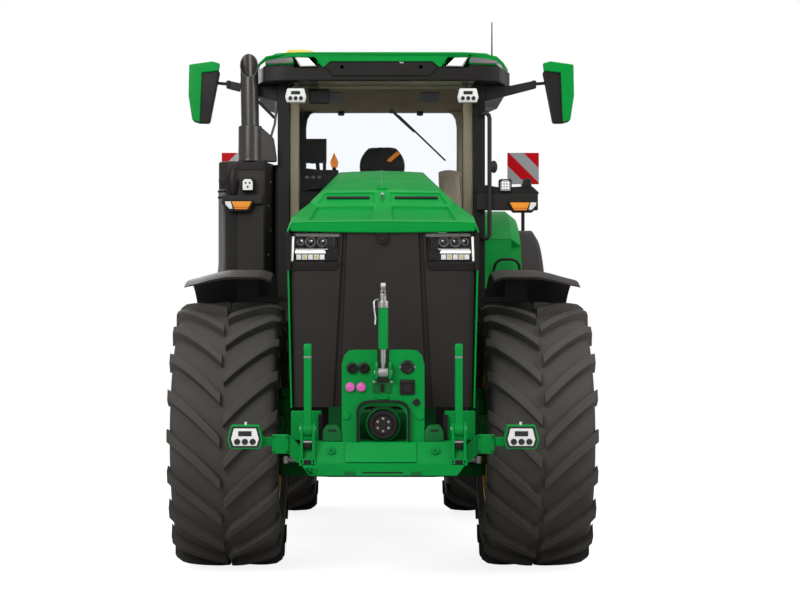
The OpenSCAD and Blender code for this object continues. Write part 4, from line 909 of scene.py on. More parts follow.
def swell(obj: bpy.types.Object, rest: float | None) -> None:
    """Blows a pad up as cloth round its filling.

    Args:
        obj: Pad, made slightly small, whose mesh is replaced by the swollen one.
        rest: Height in millimetres of what it lies on, or None where it lies on nothing.
    """
    obj.modifiers.clear()
    even = obj.modifiers.new("even_mesh", "REMESH")
    even.mode = "VOXEL"
    even.voxel_size = PAD_VOXEL * MM
    obj.data = bpy.data.meshes.new_from_object(obj.evaluated_get(bpy.context.evaluated_depsgraph_get()))
    obj.modifiers.clear()
    start = [v.co.copy() for v in obj.data.vertices]
    cloth = obj.modifiers.new("filling", "CLOTH")
    cloth.settings.use_pressure = True
    cloth.settings.uniform_pressure_force = PAD_PRESSURE
    cloth.settings.effector_weights.gravity = 0
    scene = bpy.context.scene
    for step in range(1, PAD_STEPS + 1):
        scene.frame_set(step)
    blown = bpy.data.meshes.new_from_object(obj.evaluated_get(bpy.context.evaluated_depsgraph_get()))
    obj.modifiers.clear()
    scene.frame_set(1)
    for v, old in zip(blown.vertices, start):
        move = v.co - old
        v.co = old + move * min(1.0, PAD_CAP * MM / max(move.length, 1e-9))
        if rest is not None:
            v.co.z = max(v.co.z, rest * MM)
    for face in blown.polygons:
        face.use_smooth = True
    obj.data = blown
    LOG.info("%s swollen: %d faces", obj.name, len(blown.polygons))


@dataclass
class FrontHitch:
    """Front linkage: beam, plate with couplers, folding links, top link and power take-off."""
    reach: float = 1480
    link_x: float = 410
    pivot: Pair = (1440, 940)
    top_pivot: Pair = (1425, 1245)
    pto_z: float = 962
    lean: float = 2.0
    beam_depth: float = 280
    plate_at: float = 1400

    def faces(self) -> tuple[float, float, float]:
        """Y of the beam's front, of its back and of the plate's front."""
        return ahead(self.reach), ahead(self.reach - self.beam_depth), ahead(self.plate_at)

    def frame_piece(self) -> None:
        """Welds the beam, plate, cheeks, ears and lamp arms together."""
        shape = Shape()
        self.beam(shape)
        self.plate(shape)
        for s in SIDES:
            self.cheek(shape, s)
        front = ahead(self.reach)
        shape.block((-116, 110), (front - 0.5, front + 20), (702, 712), 2, 1)
        shape.piece("hitch_weldment", "chassis", [CAST_PAINT, TRIM, STEEL, DARK_PAINT],
                    ["hitch_frame"])

    def beam(self, shape: Shape) -> None:
        """Beam with its slanted face, lower lip and raised middle."""
        front, back, _ = self.faces()
        shape.prism([(445, 870), (445, 750), (400, 690), (-400, 690), (-445, 750), (-445, 870)], "Y",
                    (front, back), 0)
        edge = bmesh.ops.bisect_plane(shape.bm, geom=whole(shape.bm), plane_co=(0, front + 14, 762),
                                      plane_no=(0, -108, 50), clear_outer=True)["geom_cut"]
        bmesh.ops.contextual_create(shape.bm, geom=only(edge, bmesh.types.BMEdge))
        bmesh.ops.recalc_face_normals(shape.bm, faces=shape.bm.faces[:])
        shape.soften(shape.bm.faces[:], 5)
        shape.prism([(444, 757), (444, 750), (399, 690), (-399, 690), (-444, 750), (-444, 757)], "Y",
                    (front, front + 40), 4)
        shape.prism([(front + 2, 762), (front + 50, 868), (front + 90, 868), (front + 90, 762)], "X",
                    (-206, 182), 6)

    def plate(self, shape: Shape) -> None:
        """Plate with an arch over the power take-off, and the arch's dark rim."""
        plate = ahead(self.plate_at)
        half = [(226, 866), (226, 1290), (212, 1340), (186, 1366), (150, 1370), (31, 1370), (31, 1186)]
        arch = [(128, 866), (128, 1000), (120, 1032), (98, 1056), (66, 1064)]
        outer = [(146, 874), (146, 1040), (134, 1072), (108, 1090), (72, 1096)]
        inner = [(132, 874), (132, 1036), (122, 1062), (100, 1078), (68, 1083)]
        for run, hole, span, tint in ((half, arch, (plate, plate + 30), 0),
                                      (outer, inner, (plate - 34, plate + 2), 1)):
            outline = [*run, *[(-x, z) for x, z in reversed(run)], *[(-x, z) for x, z in hole],
                       *reversed(hole)]
            shape.prism(outline, "Y", span, 4, tint)

    def cheek(self, shape: Shape, s: int) -> None:
        """One side of the frame: ears of the lower link, cheek blocks, lamp arm, bosses and hooks."""
        front, back, plate = self.faces()
        x = s * self.link_x
        for dx in (-32.5, 32.5):
            shape.prism([(front, 752), (front + 74, 752), (front + 78, 950), (front + 62, 976),
                         (front + 22, 976), (front, 940)], "X", (x + dx - 8, x + dx + 8), 5)
        shape.block(about(x, 46), (front, front + 60), (744, 782), 5)
        shape.block(about(x, 22), (front - 0.5, front + 14), (751, 777), 2, 1)
        shape.block(about(x, 24), (front + 16, front + 60), (836, 880), 8, 1)
        shape.rod((x - 24, front + 20, 872), (x + 24, front + 20, 872), 8, bevel=2, tint=2)
        shape.block(about(s * 425, 85), (ahead(1260), back), (868, 1028), 6)
        shape.block(about(s * 196, 30), (plate + 28, back), (868, 1010), 6)
        shape.prism([(plate + 1, 1200), (ahead(1460), 1215), (ahead(1460), 1285), (ahead(1442), 1305),
                     (plate + 1, 1305)], "X", about(s * 37.5, 7.2), 4)
        arm = [(430, 750), (470, 750), (530, 812), (530, 900), (512, 900), (430, 818)]
        shape.prism(sided(s, arm), "Y", (ahead(1366), ahead(1330)), 4)
        shape.block(about(s * 562, 47), (ahead(1380), ahead(1364)), (801, 907), 8)
        shape.block(about(s * 680, 88), (ahead(1366), ahead(1321)), (842, 889), 5)
        for dx, dz in ((-36, 40), (36, 40), (-36, -40), (36, -40)):
            shape.bolt((s * 562 + dx, ahead(1380), 854 + dz), FORWARD, 5, 4, 3)
        shape.rod((s * 282, front + 20, 826), (s * 282, front + 70, 826), 21, bevel=4)
        shape.rod((s * 282, front + 19, 826), (s * 282, front + 40, 826), 10, bevel=2, tint=3)
        shape.rod((s * 203, plate - 10, 1012), (s * 203, plate + 10, 1012), 24, bevel=5)
        dome = [(222, 868), (334, 868), (330, 928), (310, 958), (246, 958), (226, 928)]
        shape.prism(sided(s, dome), "Y", (ahead(1412), ahead(1290)), 12, 3)
        shape.block(about(s * 278, 24), (ahead(1414), ahead(1405)), (924, 936), 5, 1)
        shape.block(about(s * 345, 12), (ahead(1290), ahead(1240)), (872, 1010), 3, 1)
        foot = sided(s, ((144, 690), (216, 690), (208, 716), (152, 716)))
        shape.prism(foot, "Y", (front - 0.5, front + 30), 3, 3)

    def couplers(self) -> None:
        """Hydraulic couplers, dust caps and sockets on the plate."""
        shape = Shape()
        y = ahead(self.plate_at)
        for x in (-169, -105):
            shape.lathe([(30, 0), (31, -10), (25, -13), (25, -22), (17, -24), (15, -12), (0, -10)],
                        (x, y, 1271), "Y", 28, tint=0)
        for x in (-180, -120):
            shape.lathe([(25, 0), (26, -12), (22, -18), (8, -21), (0, -21)], (x, y, 1167), "Y", 28, tint=1)
        shape.lathe([(38, 0), (38, -6), (34, -8), (0, -8)], (132, y, 1276), "Y", 32, tint=0)
        for x in (95, 169):
            shape.bolt((x, y, 1276), FORWARD, 5, 4, 3)
        shape.lathe([(31, -4), (32, -16), (26, -20), (22, -18), (20, -10), (0, -9)], (132, y, 1276), "Y", 32,
                    tint=2)
        shape.block((90, 172), (y - 14, y), (1126, 1208), 6, 0)
        shape.lathe([(30, -14), (29, -20), (24, -20), (22, -15), (0, -15)], (131, y, 1167), "Y", 32, tint=2)
        shape.block((100, 162), (y - 24, y - 12), (1190, 1204), 3, 2)
        shape.lathe([(19, 0), (20, -10), (15, -12), (13, -7), (0, -7)], (180, y, 1085), "Y", 24, tint=2)
        shape.block((-58, 50), (y - 3, y), (1132, 1190), 3, 4)
        for x in (-34, -4, 26):
            shape.block(about(x, 11), (y - 7, y), (1140, 1182), 3, 0 if x == -4 else 4)
        shape.pipe([(-32, y, 1118), (-28, y - 16, 1108), (-4, y - 20, 1104), (20, y - 16, 1108),
                    (24, y, 1118)], 6, 8, 5)
        for x in (-50, 46):
            shape.bolt((x, y - 22, 1196), FORWARD, 5, 4, 3)
        shape.piece("hitch_couplers", "chassis",
                    [TRIM, PINK, POWDER, STEEL, DARK_PAINT, CAST_PAINT])

    def pto(self) -> None:
        """Power take-off flange with its bolts, in a round shroud."""
        shape = Shape()
        c = (0, ahead(self.plate_at), self.pto_z)
        shape.lathe([(94, 200), (94, 4), (88, 0), (82, 6), (80, 40), (60, 44), (60, 30), (0, 30)], c, "Y", 56,
                    tint=3)
        shape.lathe([(79, 30), (79, -24), (73, -30), (58, -30), (54, -20), (0, -18)], c, "Y", 56, tint=1)
        shape.lathe([(46, -18), (46, -22), (18, -22), (16, -28), (0, -28)], c, "Y", 32)
        for k in range(6):
            x, z = circle(34, 60 * k + 30)
            shape.bolt((x, c[1] - 22, c[2] + z), FORWARD, 5, 4, 2)
        shape.piece("front_pto_flange", "chassis", [POWDER, TRIM, STEEL, DARK_PAINT],
                    ["front_pto"])

    def links(self) -> None:
        """Folded lower links with their hooks, and the top link."""
        shape = Shape()
        y, z = ahead(self.pivot[0]), self.pivot[1]
        for s in SIDES:
            x = s * self.link_x
            shape.rod((x - 44, y, z), (x + 44, y, z), 16, bevel=3, tint=1)
            shape.rod((x - 24, y, z), (x + 24, y, z), 40, bevel=4)
            shape.prism([(y - 37, z), (y + 37, z), (y + 34, z + 120), (y + 26, z + 250), (y + 26, z + 420),
                         (y + 14, z + 464), (y - 20, z + 464), (y - 30, z + 430), (y - 26, z + 400),
                         (y - 26, z + 250), (y - 34, z + 120)], "X", about(x, 20), 5)
            shape.block(about(x, 21), (y - 28, y - 4), (z + 386, z + 396), 2, 1)
            shape.rod((x - 22, y - 6, z + 440), (x + 22, y - 6, z + 440), 12, bevel=2)
        shape.piece("front_link_arms", "front_lower_links", [CAST_PAINT, STEEL],
                    ["front_links"])
        top = Shape()
        for half, r, bevel in ((49, 16, 2), (28, 27, 4)):
            top.rod((-half, 0, 0), (half, 0, 0), r, bevel=bevel, tint=1)
        for low, high, r, bevel, tint in ((10, 150, 16, 3, 1), (128, 360, 27, 5, 0), (352, 392, 31, 4, 1),
                                          (359, 430, 19, 3, 1)):
            top.rod((0, 0, low), (0, 0, high), r, bevel=bevel, tint=tint)
        top.prism([(-18, 415), (24, 415), (33, 440), (33, 478), (20, 492), (-14, 490), (-34, 470), (-30, 456),
                   (-6, 462), (4, 450), (-2, 436), (-18, 432)], "X", (-14, 14), 4, 1)
        top.pipe([(-26, -6, 400), (-44, -12, 396), (-50, -16, 384), (-48, -18, 340), (-42, -20, 300),
                  (-44, -22, 262)], 5, 8, 1)
        turn = Matrix.Rotation(math.radians(-self.lean), 3, "X")
        spot = Vector((0, ahead(self.top_pivot[0]), self.top_pivot[1]))
        top.warp(top.bm.faces, lambda p: turn @ p + spot)
        top.piece("front_top_link_rod", "front_upper_link", [CAST_PAINT, STEEL],
                  ["front_top_link"])

    def build(self) -> None:
        """Builds all of the linkage."""
        self.frame_piece()
        self.couplers()
        self.pto()
        self.links()


@dataclass
class Cab:
    """Cab: posts, roof with its front band, headliner, door frame, seats, fittings and mirrors."""
    front: float = -1300
    rear: float = -2970
    post: float = 80
    floor: float = 1580
    roof_front: float = -1080
    body: str = "chassis"

    def roof_line(self, x: float) -> float:
        """Y of the roof's front edge at a place across it."""
        x = abs(x)
        return ahead(self.roof_front) + max(0.0, min(x, 800) - 640) * 0.375 + max(0.0, x - 800) * 3.6

    def roof_skin(self) -> None:
        """Roof skin, with the front band and its two points."""
        shape = Shape()
        shape.node("cab_roof", 14, 0, 3)
        band = [(0, 3300), (352, 3300), (392, 3262), (408, 3262), (456, 3330), (620, 3330), (725, 3322),
                (795, 3312), (864, 3298), (884, 3308), (856, 3328), (795, 3342), (725, 3352), (620, 3359),
                (0, 3362)]
        outline = band + [(-x, z) for x, z in reversed(band[1:-1])]
        faces = shape.prism(outline, "Y", (-14, 46), 3)
        shape.warp(faces, lambda p: Vector((p.x, p.y + self.roof_line(p.x), p.z)))
        shape.piece("roof_skin", self.body, [PAINT], ["cab_roof"], 50)

    def roof_fascia(self) -> None:
        """Black fascia under the band, with the smoked corners and their clear ends, whose bright parts are
        chrome pieces drawn in the outline of the highlights on the clear lens: painted highlights.
        """
        dark = Shape()
        dark.node("cab_liner", 8, 0, 2)
        faces = dark.prism([(-350, 3300), (350, 3300), (392, 3262), (330, 3200), (-330, 3200), (-392, 3262)],
                           "Y", (-4, 40), 6)
        dark.warp(faces, lambda p: Vector((p.x, p.y + ahead(self.roof_front), p.z)))
        for s in SIDES:
            dark.rod((s * 270, ahead(-1076), 3262), (s * 270, ahead(-1100), 3262), 16, bevel=3, tint=1)
            smoked = [(604, 3290), (612, 3330), (725, 3324), (800, 3312), (804, 3292), (720, 3288)]
            # The clear end is a chrome piece cut to the outline of the highlight on the clear lens: a painted
            # highlight
            clear = [(790, 3310), (842, 3300), (856, 3272), (850, 3224), (826, 3224), (820, 3266),
                     (788, 3292)]
            for outline, tint in ((smoked, 3), (clear, 2)):
                faces = dark.prism(sided(s, outline), "Y", (-13, 40), 4, tint)
                dark.warp(faces, lambda p: Vector((p.x, p.y + self.roof_line(p.x), p.z)))
        dark.block((126, 150), (ahead(-1073), ahead(-1090)), (3285, 3298), 3, 2)
        dark.piece("roof_fascia", self.body, [TRIM, POWDER, CHROME, SMOKED], ["cab_liner"])

    def roof_lamps(self) -> None:
        """Lamps set in the fascia, and the work lamps on the front posts."""
        lamp = Shape()
        for s in SIDES:
            face = sided(s, ((442, 3266), (505, 3330), (598, 3332), (560, 3264)))
            lamp.prism(face, "Y", (ahead(-1076), ahead(-1110)), 3)
            lamp.prism([(s * (x - (8 if x > 500 else -8)), z + (7 if z < 3300 else -7)) for x, z in
                        ((446, 3266), (508, 3330), (594, 3332), (557, 3264))], "Y",
                       (ahead(-1070), ahead(-1080)), 2, 1)
            lamp_face(lamp, (596 if s > 0 else -590, ahead(-1106), 3072), 146, 96, 2, 2, 3, 56)
            lamp.block(about(s * 580, 20), (ahead(-1120), ahead(-1150)), (3110, 3172), 4, 4)
        lamp.piece("roof_and_post_lamps", self.body, [CHROME, LED, WHITE, SCREEN, TRIM])

    def trim(self) -> None:
        """Headliner with its rails and vents, and the inner pillars."""
        shape = Shape()
        y0, y1 = ahead(self.front) + 30, ahead(self.rear) - 40
        shape.block((-636, 636), (y0, y1), (3163, 3169.5), 2)
        shape.block((-440, 636), (y0 - 8, y0 + 30), (3146, 3168), 6, 1)
        shape.block((-440, 636), (ahead(self.roof_front) + 34, y0 - 12), (3164, 3171), 2, 1)
        for s in SIDES:
            shape.block(about(s * 355, 68), (y0 + 330, y0 + 850), (3157, 3165), 3, 3)
            shape.rod((s * 310, y1 - 60, 3164), (s * 310, y1 - 60, 3130), 30, 24, bevel=6, tint=2)
            shade = 1 if s > 0 else 2
            shape.prism([(s * 642, 1600), (s * 642, 3164), (s * 520, 3164), (s * 560, 3120), (s * 576, 3060),
                         (s * 578, 1600)], "Y", (y0, y0 + 62), 12, 1)
            edge = 600 if s > 0 else 586
            shape.prism([(s * 644, 2310), (s * 644, 3162), (s * (edge - 80), 3162), (s * (edge - 34), 3146),
                         (s * (edge - 10), 3104), (s * edge, 3040), (s * edge, 2310)], "Y",
                        (y1 - 70, y1 - 8), 10, shade)
        shape.piece("cab_trim", self.body, [LINER, VINYL, TRIM, CLOTH])

    def fittings(self) -> None:
        """Controls, screen, lever, console and inside mirror."""
        tools = Shape()
        tools.node("cab_controls", 4, 0, 2)
        y = ahead(-2010)
        screen = [(-559, 2848), (-435, 2860), (-402, 2686), (-521, 2678)]
        tools.prism(screen, "Y", about(y, 22), 8)
        tools.prism([(x * 0.95 - 24, z * 0.95 + 138) for x, z in screen], "Y", (y + 20, y + 24), 2, 1)
        stalk = [(-470, y, 2690), (-466, y + 10, 2640), (-440, y + 40, 2560), (-380, y + 60, 2290)]
        tools.pipe(stalk, 15, 10)
        # The joystick's body is in the orange finish, whose glow is painted light against the cab's shade
        tools.prism([(-376, 2690), (-346, 2762), (-314, 2690), (-322, 2650), (-366, 2650)], "Y",
                    (y - 20, y + 24), 8, 2)
        tools.rod((-345, y, 2654), (-350, y + 30, 2500), 14, 20, bevel=3)
        tools.prism([(-600, 2650), (-450, 2634), (-312, 2632), (-330, 2570), (-380, 2500), (-600, 2470)], "Y",
                    (y - 10, y + 240), 10)
        for k in range(3):
            tools.block((-560 + 46 * k, -534 + 46 * k), (y - 14, y - 6), (2566, 2588), 4, 4)
        tools.prism([(y - 90, 2020), (ahead(-2760), 2020), (ahead(-2760), 2420), (y + 300, 2500),
                     (y - 20, 2480)], "X", (-638, -440), 18, 0)
        tools.block((-512, -360), (ahead(-1345), ahead(-1385)), (3040, 3150), 16, 0)
        tools.rod((-436, ahead(-1365), 3140), (-436, ahead(-1365), 3166), 12, bevel=2)
        tools.block((-502, -370), (ahead(-1384), ahead(-1390)), (3048, 3142), 4, 3)
        tools.piece("cab_fittings", self.body, [TRIM, SCREEN, ORANGE, MIRROR, SMOKED],
                    ["cab_controls"])

    def wiper(self) -> None:
        """Wiper on the windscreen, hung from above."""
        wiper = Shape()
        y = ahead(self.front) - 8
        wiper.rod((70, y, 2986), (70, y + 14, 2986), 18, bevel=4)
        wiper.pipe([(70, y - 6, 2986), (150, y - 10, 2910), (230, y - 6, 2838)], 7, 8)
        wiper.prism([(118, 2946), (126, 2956), (452, 2642), (444, 2634)], "Y", about(y, 6), 2)
        wiper.prism([(92, 2970), (98, 2976), (190, 2890), (184, 2884)], "Y", (y - 14, y - 8), 2)
        wiper.piece("windscreen_wiper", self.body, [TRIM])

    def seat(self) -> None:
        """Driver's seat and second seat: crowned pads on their pans, with a belt."""
        y, z = ahead(-2420), 2080
        pans = Shape()
        pans.block((-170, 170), about(y, 200), (self.floor + 1, z - 92), 20)
        for k in range(5):
            pans.block((-186 + 3 * k, 186 - 3 * k), about(y, 206), (1640 + 62 * k, 1676 + 62 * k), 10)
        pans.block((-262, 262), (y - 268, y + 228), (z - 92, z - 62), 14)
        # The belt is in the orange finish, whose glow is painted light against the cab's shade
        belt = [(44, 2752), (74, 2740), (150, 2806), (126, 2824)]
        pans.prism(belt, "Y", (y + 172, y + 180), 2, 1)
        pans.piece("seat_pan", self.body, [TRIM, ORANGE], ["seats"])
        lean = 0.207
        pads = (("cushion", (-250, 250), (y - 262, y + 190), (z - 62, z + 48), 0.0),
                ("backrest", (-238, 238), (y + 168, y + 268), (z + 46, z + 560), lean),
                ("headrest", (-196, 196), (y + 170, y + 266), (z + 566, z + 790), lean),
                ("second_cushion", (440, 634), (y - 58, y + 178), (2206, 2262), 0.0),
                ("second_back", (432, 634), (y + 122, y + 176), (2268, 2698), 0.1))
        for name, xs, ys, zs, slope in pads:
            self.pad(name, (xs, ys, zs), slope)

    def pad(self, name: str, box: tuple[Pair, Pair, Pair], slope: float) -> None:
        """Makes one pad as a crowned closed form, swollen as cloth.

        Args:
            name: Name of the pad.
            box: Its range along x, y and z before it swells.
            slope: How far it leans back for each millimetre upwards.
        """
        shape = Shape()
        shape.block(*box, 0)
        bmesh.ops.subdivide_edges(shape.bm, edges=shape.bm.edges[:], cuts=5, use_grid_fill=True)
        mid = [(a + b) / 2 for a, b in box]
        half = [(b - a) / 2 for a, b in box]
        foot, top = box[2]

        def crown(p: Vector) -> Vector:
            """Rounds a pad: its middle stands out and its corners pull in."""
            q = Vector([(p[i] - mid[i]) / half[i] for i in range(3)])
            pull = 0.95 - 0.07 * (q.x ** 2 * q.y ** 2 + q.y ** 2 * q.z ** 2 + q.z ** 2 * q.x ** 2)
            spot = Vector([mid[i] + q[i] * half[i] * pull for i in range(3)])
            if name == "headrest":
                spot.x = spot.x * (1 - 0.42 * ((spot.z - foot) / (top - foot)) ** 2.4) + 12
            spot.y += (spot.z - foot) * slope
            return spot

        shape.warp(shape.bm.faces, crown)
        obj = shape.piece(f"seat_{name}", self.body,
                          [SEAT_VINYL if "second" in name else CLOTH])
        swell(obj, foot if "cushion" in name else None)
        soft = obj.modifiers.new("padding", "SUBSURF")
        soft.levels = soft.render_levels = 1

    def shell(self) -> None:
        """Posts, floor, door frame, steps, handrail and brackets."""
        rounded("cab_posts", self.body, TRIM, 12, 3)
        rounded("cab_floor", self.body, PLASTIC, 6)
        rounded("door_frame", "door", TRIM, 10, 3)
        rounded("steps", self.body, POWDER, 5)
        rail = Shape()
        half = [(705, -136, 2525), (705, -205, 2525), (712, -224, 2525), (730, -230, 2523), (744, -230, 2511),
                (750, -230, 2490)]
        path = [(x, y, z + 435) for x, y, z in half] + [(x, y, 4615 - z) for x, y, z in reversed(half)]
        rail.pipe(path, 15.5, 16)
        rail.ball((780, -226, 2588), (26, 18, 44))
        rail.rod((752, -230, 2588), (782, -226, 2588), 9)
        rail.piece("entry_handrail", self.body, [POWDER], ["handrails"])
        rounded("cab_brackets", self.body, POWDER, 5)

    def mirrors(self) -> None:
        """Outside mirrors: tapered housings with green caps on jointed arms."""
        shape = Shape()
        y = ahead(self.front - self.post)
        case = [(1131, 3262), (1182, 3322), (1342, 3308), (1345, 3090), (1318, 2916), (1270, 2903),
                (1202, 2902)]
        shape.prism(case, "Y", (y - 66, y + 3), 12, 0)
        cap = [(1130, 3320), (1182, 3334), (1344, 3311), (1348, 3094), (1322, 2922), (1268, 2908),
               (1254, 3254), (1138, 3266)]
        shape.prism(cap, "Y", (y - 84, y - 30), 8, 1)
        shape.prism([(1232 + (x - 1240) * 0.88, 3112 + (z - 3112) * 0.92) for x, z in case], "Y",
                    (y + 1, y + 5), 1, 2)
        shape.pipe([(1060, y - 18, 3184), (1100, y - 18, 3184), (1150, y - 22, 3188), (1190, y - 30, 3184)],
                   11, 10)
        shape.block((1056, 1088), (y - 38, y + 3), (3150, 3206), 8, 0)
        shape.mirror()
        shape.piece("outside_mirrors", self.body, [TRIM, PAINT, MIRROR], ["mirrors"])

    def build(self) -> None:
        """Builds the whole cab."""
        for make in (self.shell, self.roof_skin, self.roof_fascia, self.roof_lamps, self.trim, self.fittings,
                     self.wiper, self.seat, self.mirrors):
            make()


@dataclass
class Exhaust:
    """Tall exhaust housing beside the cab, with the stack on it."""
    x: float = -912
    top: float = 2625
    mouth: float = 3386
    r: float = 63
    cut: float = 182

    def build(self) -> None:
        """Builds the housing and the stack."""
        self.housing()
        self.stack()

    def housing(self) -> None:
        """Housing with its bolts, cover strips, filter tube and clamps."""
        shape = Shape()
        shape.node("exhaust_housing", 14, 0, 3)
        front = ahead(-1165)
        for k in range(8):
            t = 0.3 + 0.2 * (k % 2)
            shape.bolt((-806 + 61 * t, front + 315 * t, 1300 + 170 * k), (0.98, -0.19, 0), 6, 3, 1)
        shape.block((-994, -812), (front - 5, front + 8), (1150, 2600), 5, 0)
        strip = [(-992, 2560), (-816, 2560), (-806, 2616), (-992, 2616)]
        shape.prism(strip, "Y", (front - 9, front + 4), 4, 2)
        shape.block((-1060, -998), (front - 2, front + 10), (1146, 2330), 3, 2)
        shape.rod((-1096, front + 44, 1142), (-1096, front + 44, 2430), 34, bevel=6, tint=3)
        for z in (1700, 2366, 2408):
            shape.lathe([(35, 0), (39, 2), (39, 14), (35, 16)], (-1096, front + 44, z), "Z", 32, tint=2)
        shape.ball((-1023, front + 6, 2478), (44, 26, 114), 2, 14)
        shape.lathe([(34, 0), (34, -6), (28, -8), (0, -8)], (-1092, front + 20, 2490), "Y", 24, tint=2)
        shape.block((-748, -724), (ahead(-1480), ahead(-1400)), (1600, 2618), 3, 2)
        shape.piece("exhaust_cover", "chassis", [PLASTIC, STEEL, TRIM, SMOKED],
                    ["exhaust_housing"])

    def stack(self) -> None:
        """Stack with its slanted mouth, its foot and the stays beside it."""
        pipe = Shape()
        y, wall = ahead(-1240), 5
        pipe.lathe([(84, 0), (84, 236), (80, 246), (64, 250), (0, 250)], (self.x, y, self.top), "Z", 48)
        pipe.lathe([(86, 0), (88, 6), (86, 14)], (self.x, y, self.top), "Z", 48)
        pipe.prism([(-906, 2624), (-728, 2624), (-728, 2660), (-748, 2790), (-829, 2861), (-906, 2861)], "Y",
                   (y - 30, y + 34), 10)
        stay = [(-731, y + 60, 3050), (-736, y + 50, 2960), (-744, y + 40, 2890), (-771, y + 20, 2795)]
        pipe.pipe(stay, 9, 10)
        pipe.pipe([(-870, y + 30, 3062), (-838, y + 50, 3030), (-745, y + 80, 2938)], 11, 10)
        tube = pipe.lathe([(self.r, 240), (self.r, 800), (self.r - wall, 800), (self.r - wall, 300),
                           (0, 300)], (self.x, y, self.top), "Z", 56)
        low = Vector((self.x, y - self.r, self.mouth - self.cut))
        slant = Vector((0, self.cut, -2 * self.r)).normalized()
        geom = [*tube, *{e for f in tube for e in f.edges}, *{v for f in tube for v in f.verts}]
        edge = bmesh.ops.bisect_plane(pipe.bm, geom=geom, plane_co=low, plane_no=-slant,
                                      clear_outer=True)["geom_cut"]
        bmesh.ops.bridge_loops(pipe.bm, edges=only(edge, bmesh.types.BMEdge))
        bmesh.ops.recalc_face_normals(pipe.bm, faces=pipe.bm.faces[:])

        def curve(p: Vector) -> Vector:
            """Bends the upper stack a little outwards."""
            return Vector((p.x - 14 * max(0.0, (p.z - 2990) / 396) ** 2, p.y, p.z))

        pipe.warp([f for f in pipe.bm.faces if f.calc_center_median().z > 2880], curve)
        pipe.piece("exhaust_pipe", "chassis", [STACK], ["exhaust_stack"])


def fender_block(shape: Shape, side: int, x: Pair, r: Pair, turn: Pair, tint: int) -> None:
    """Adds a block that follows a rear fender's curve, between two radii and two angles."""
    outline = [(r[0], side * x[0]), (r[1], side * x[0]), (r[1], side * x[1]), (r[0], side * x[1])]
    shape.lathe(outline, (0, REAR_Y, REAR_Z), "X", 4, turn, tint, True)


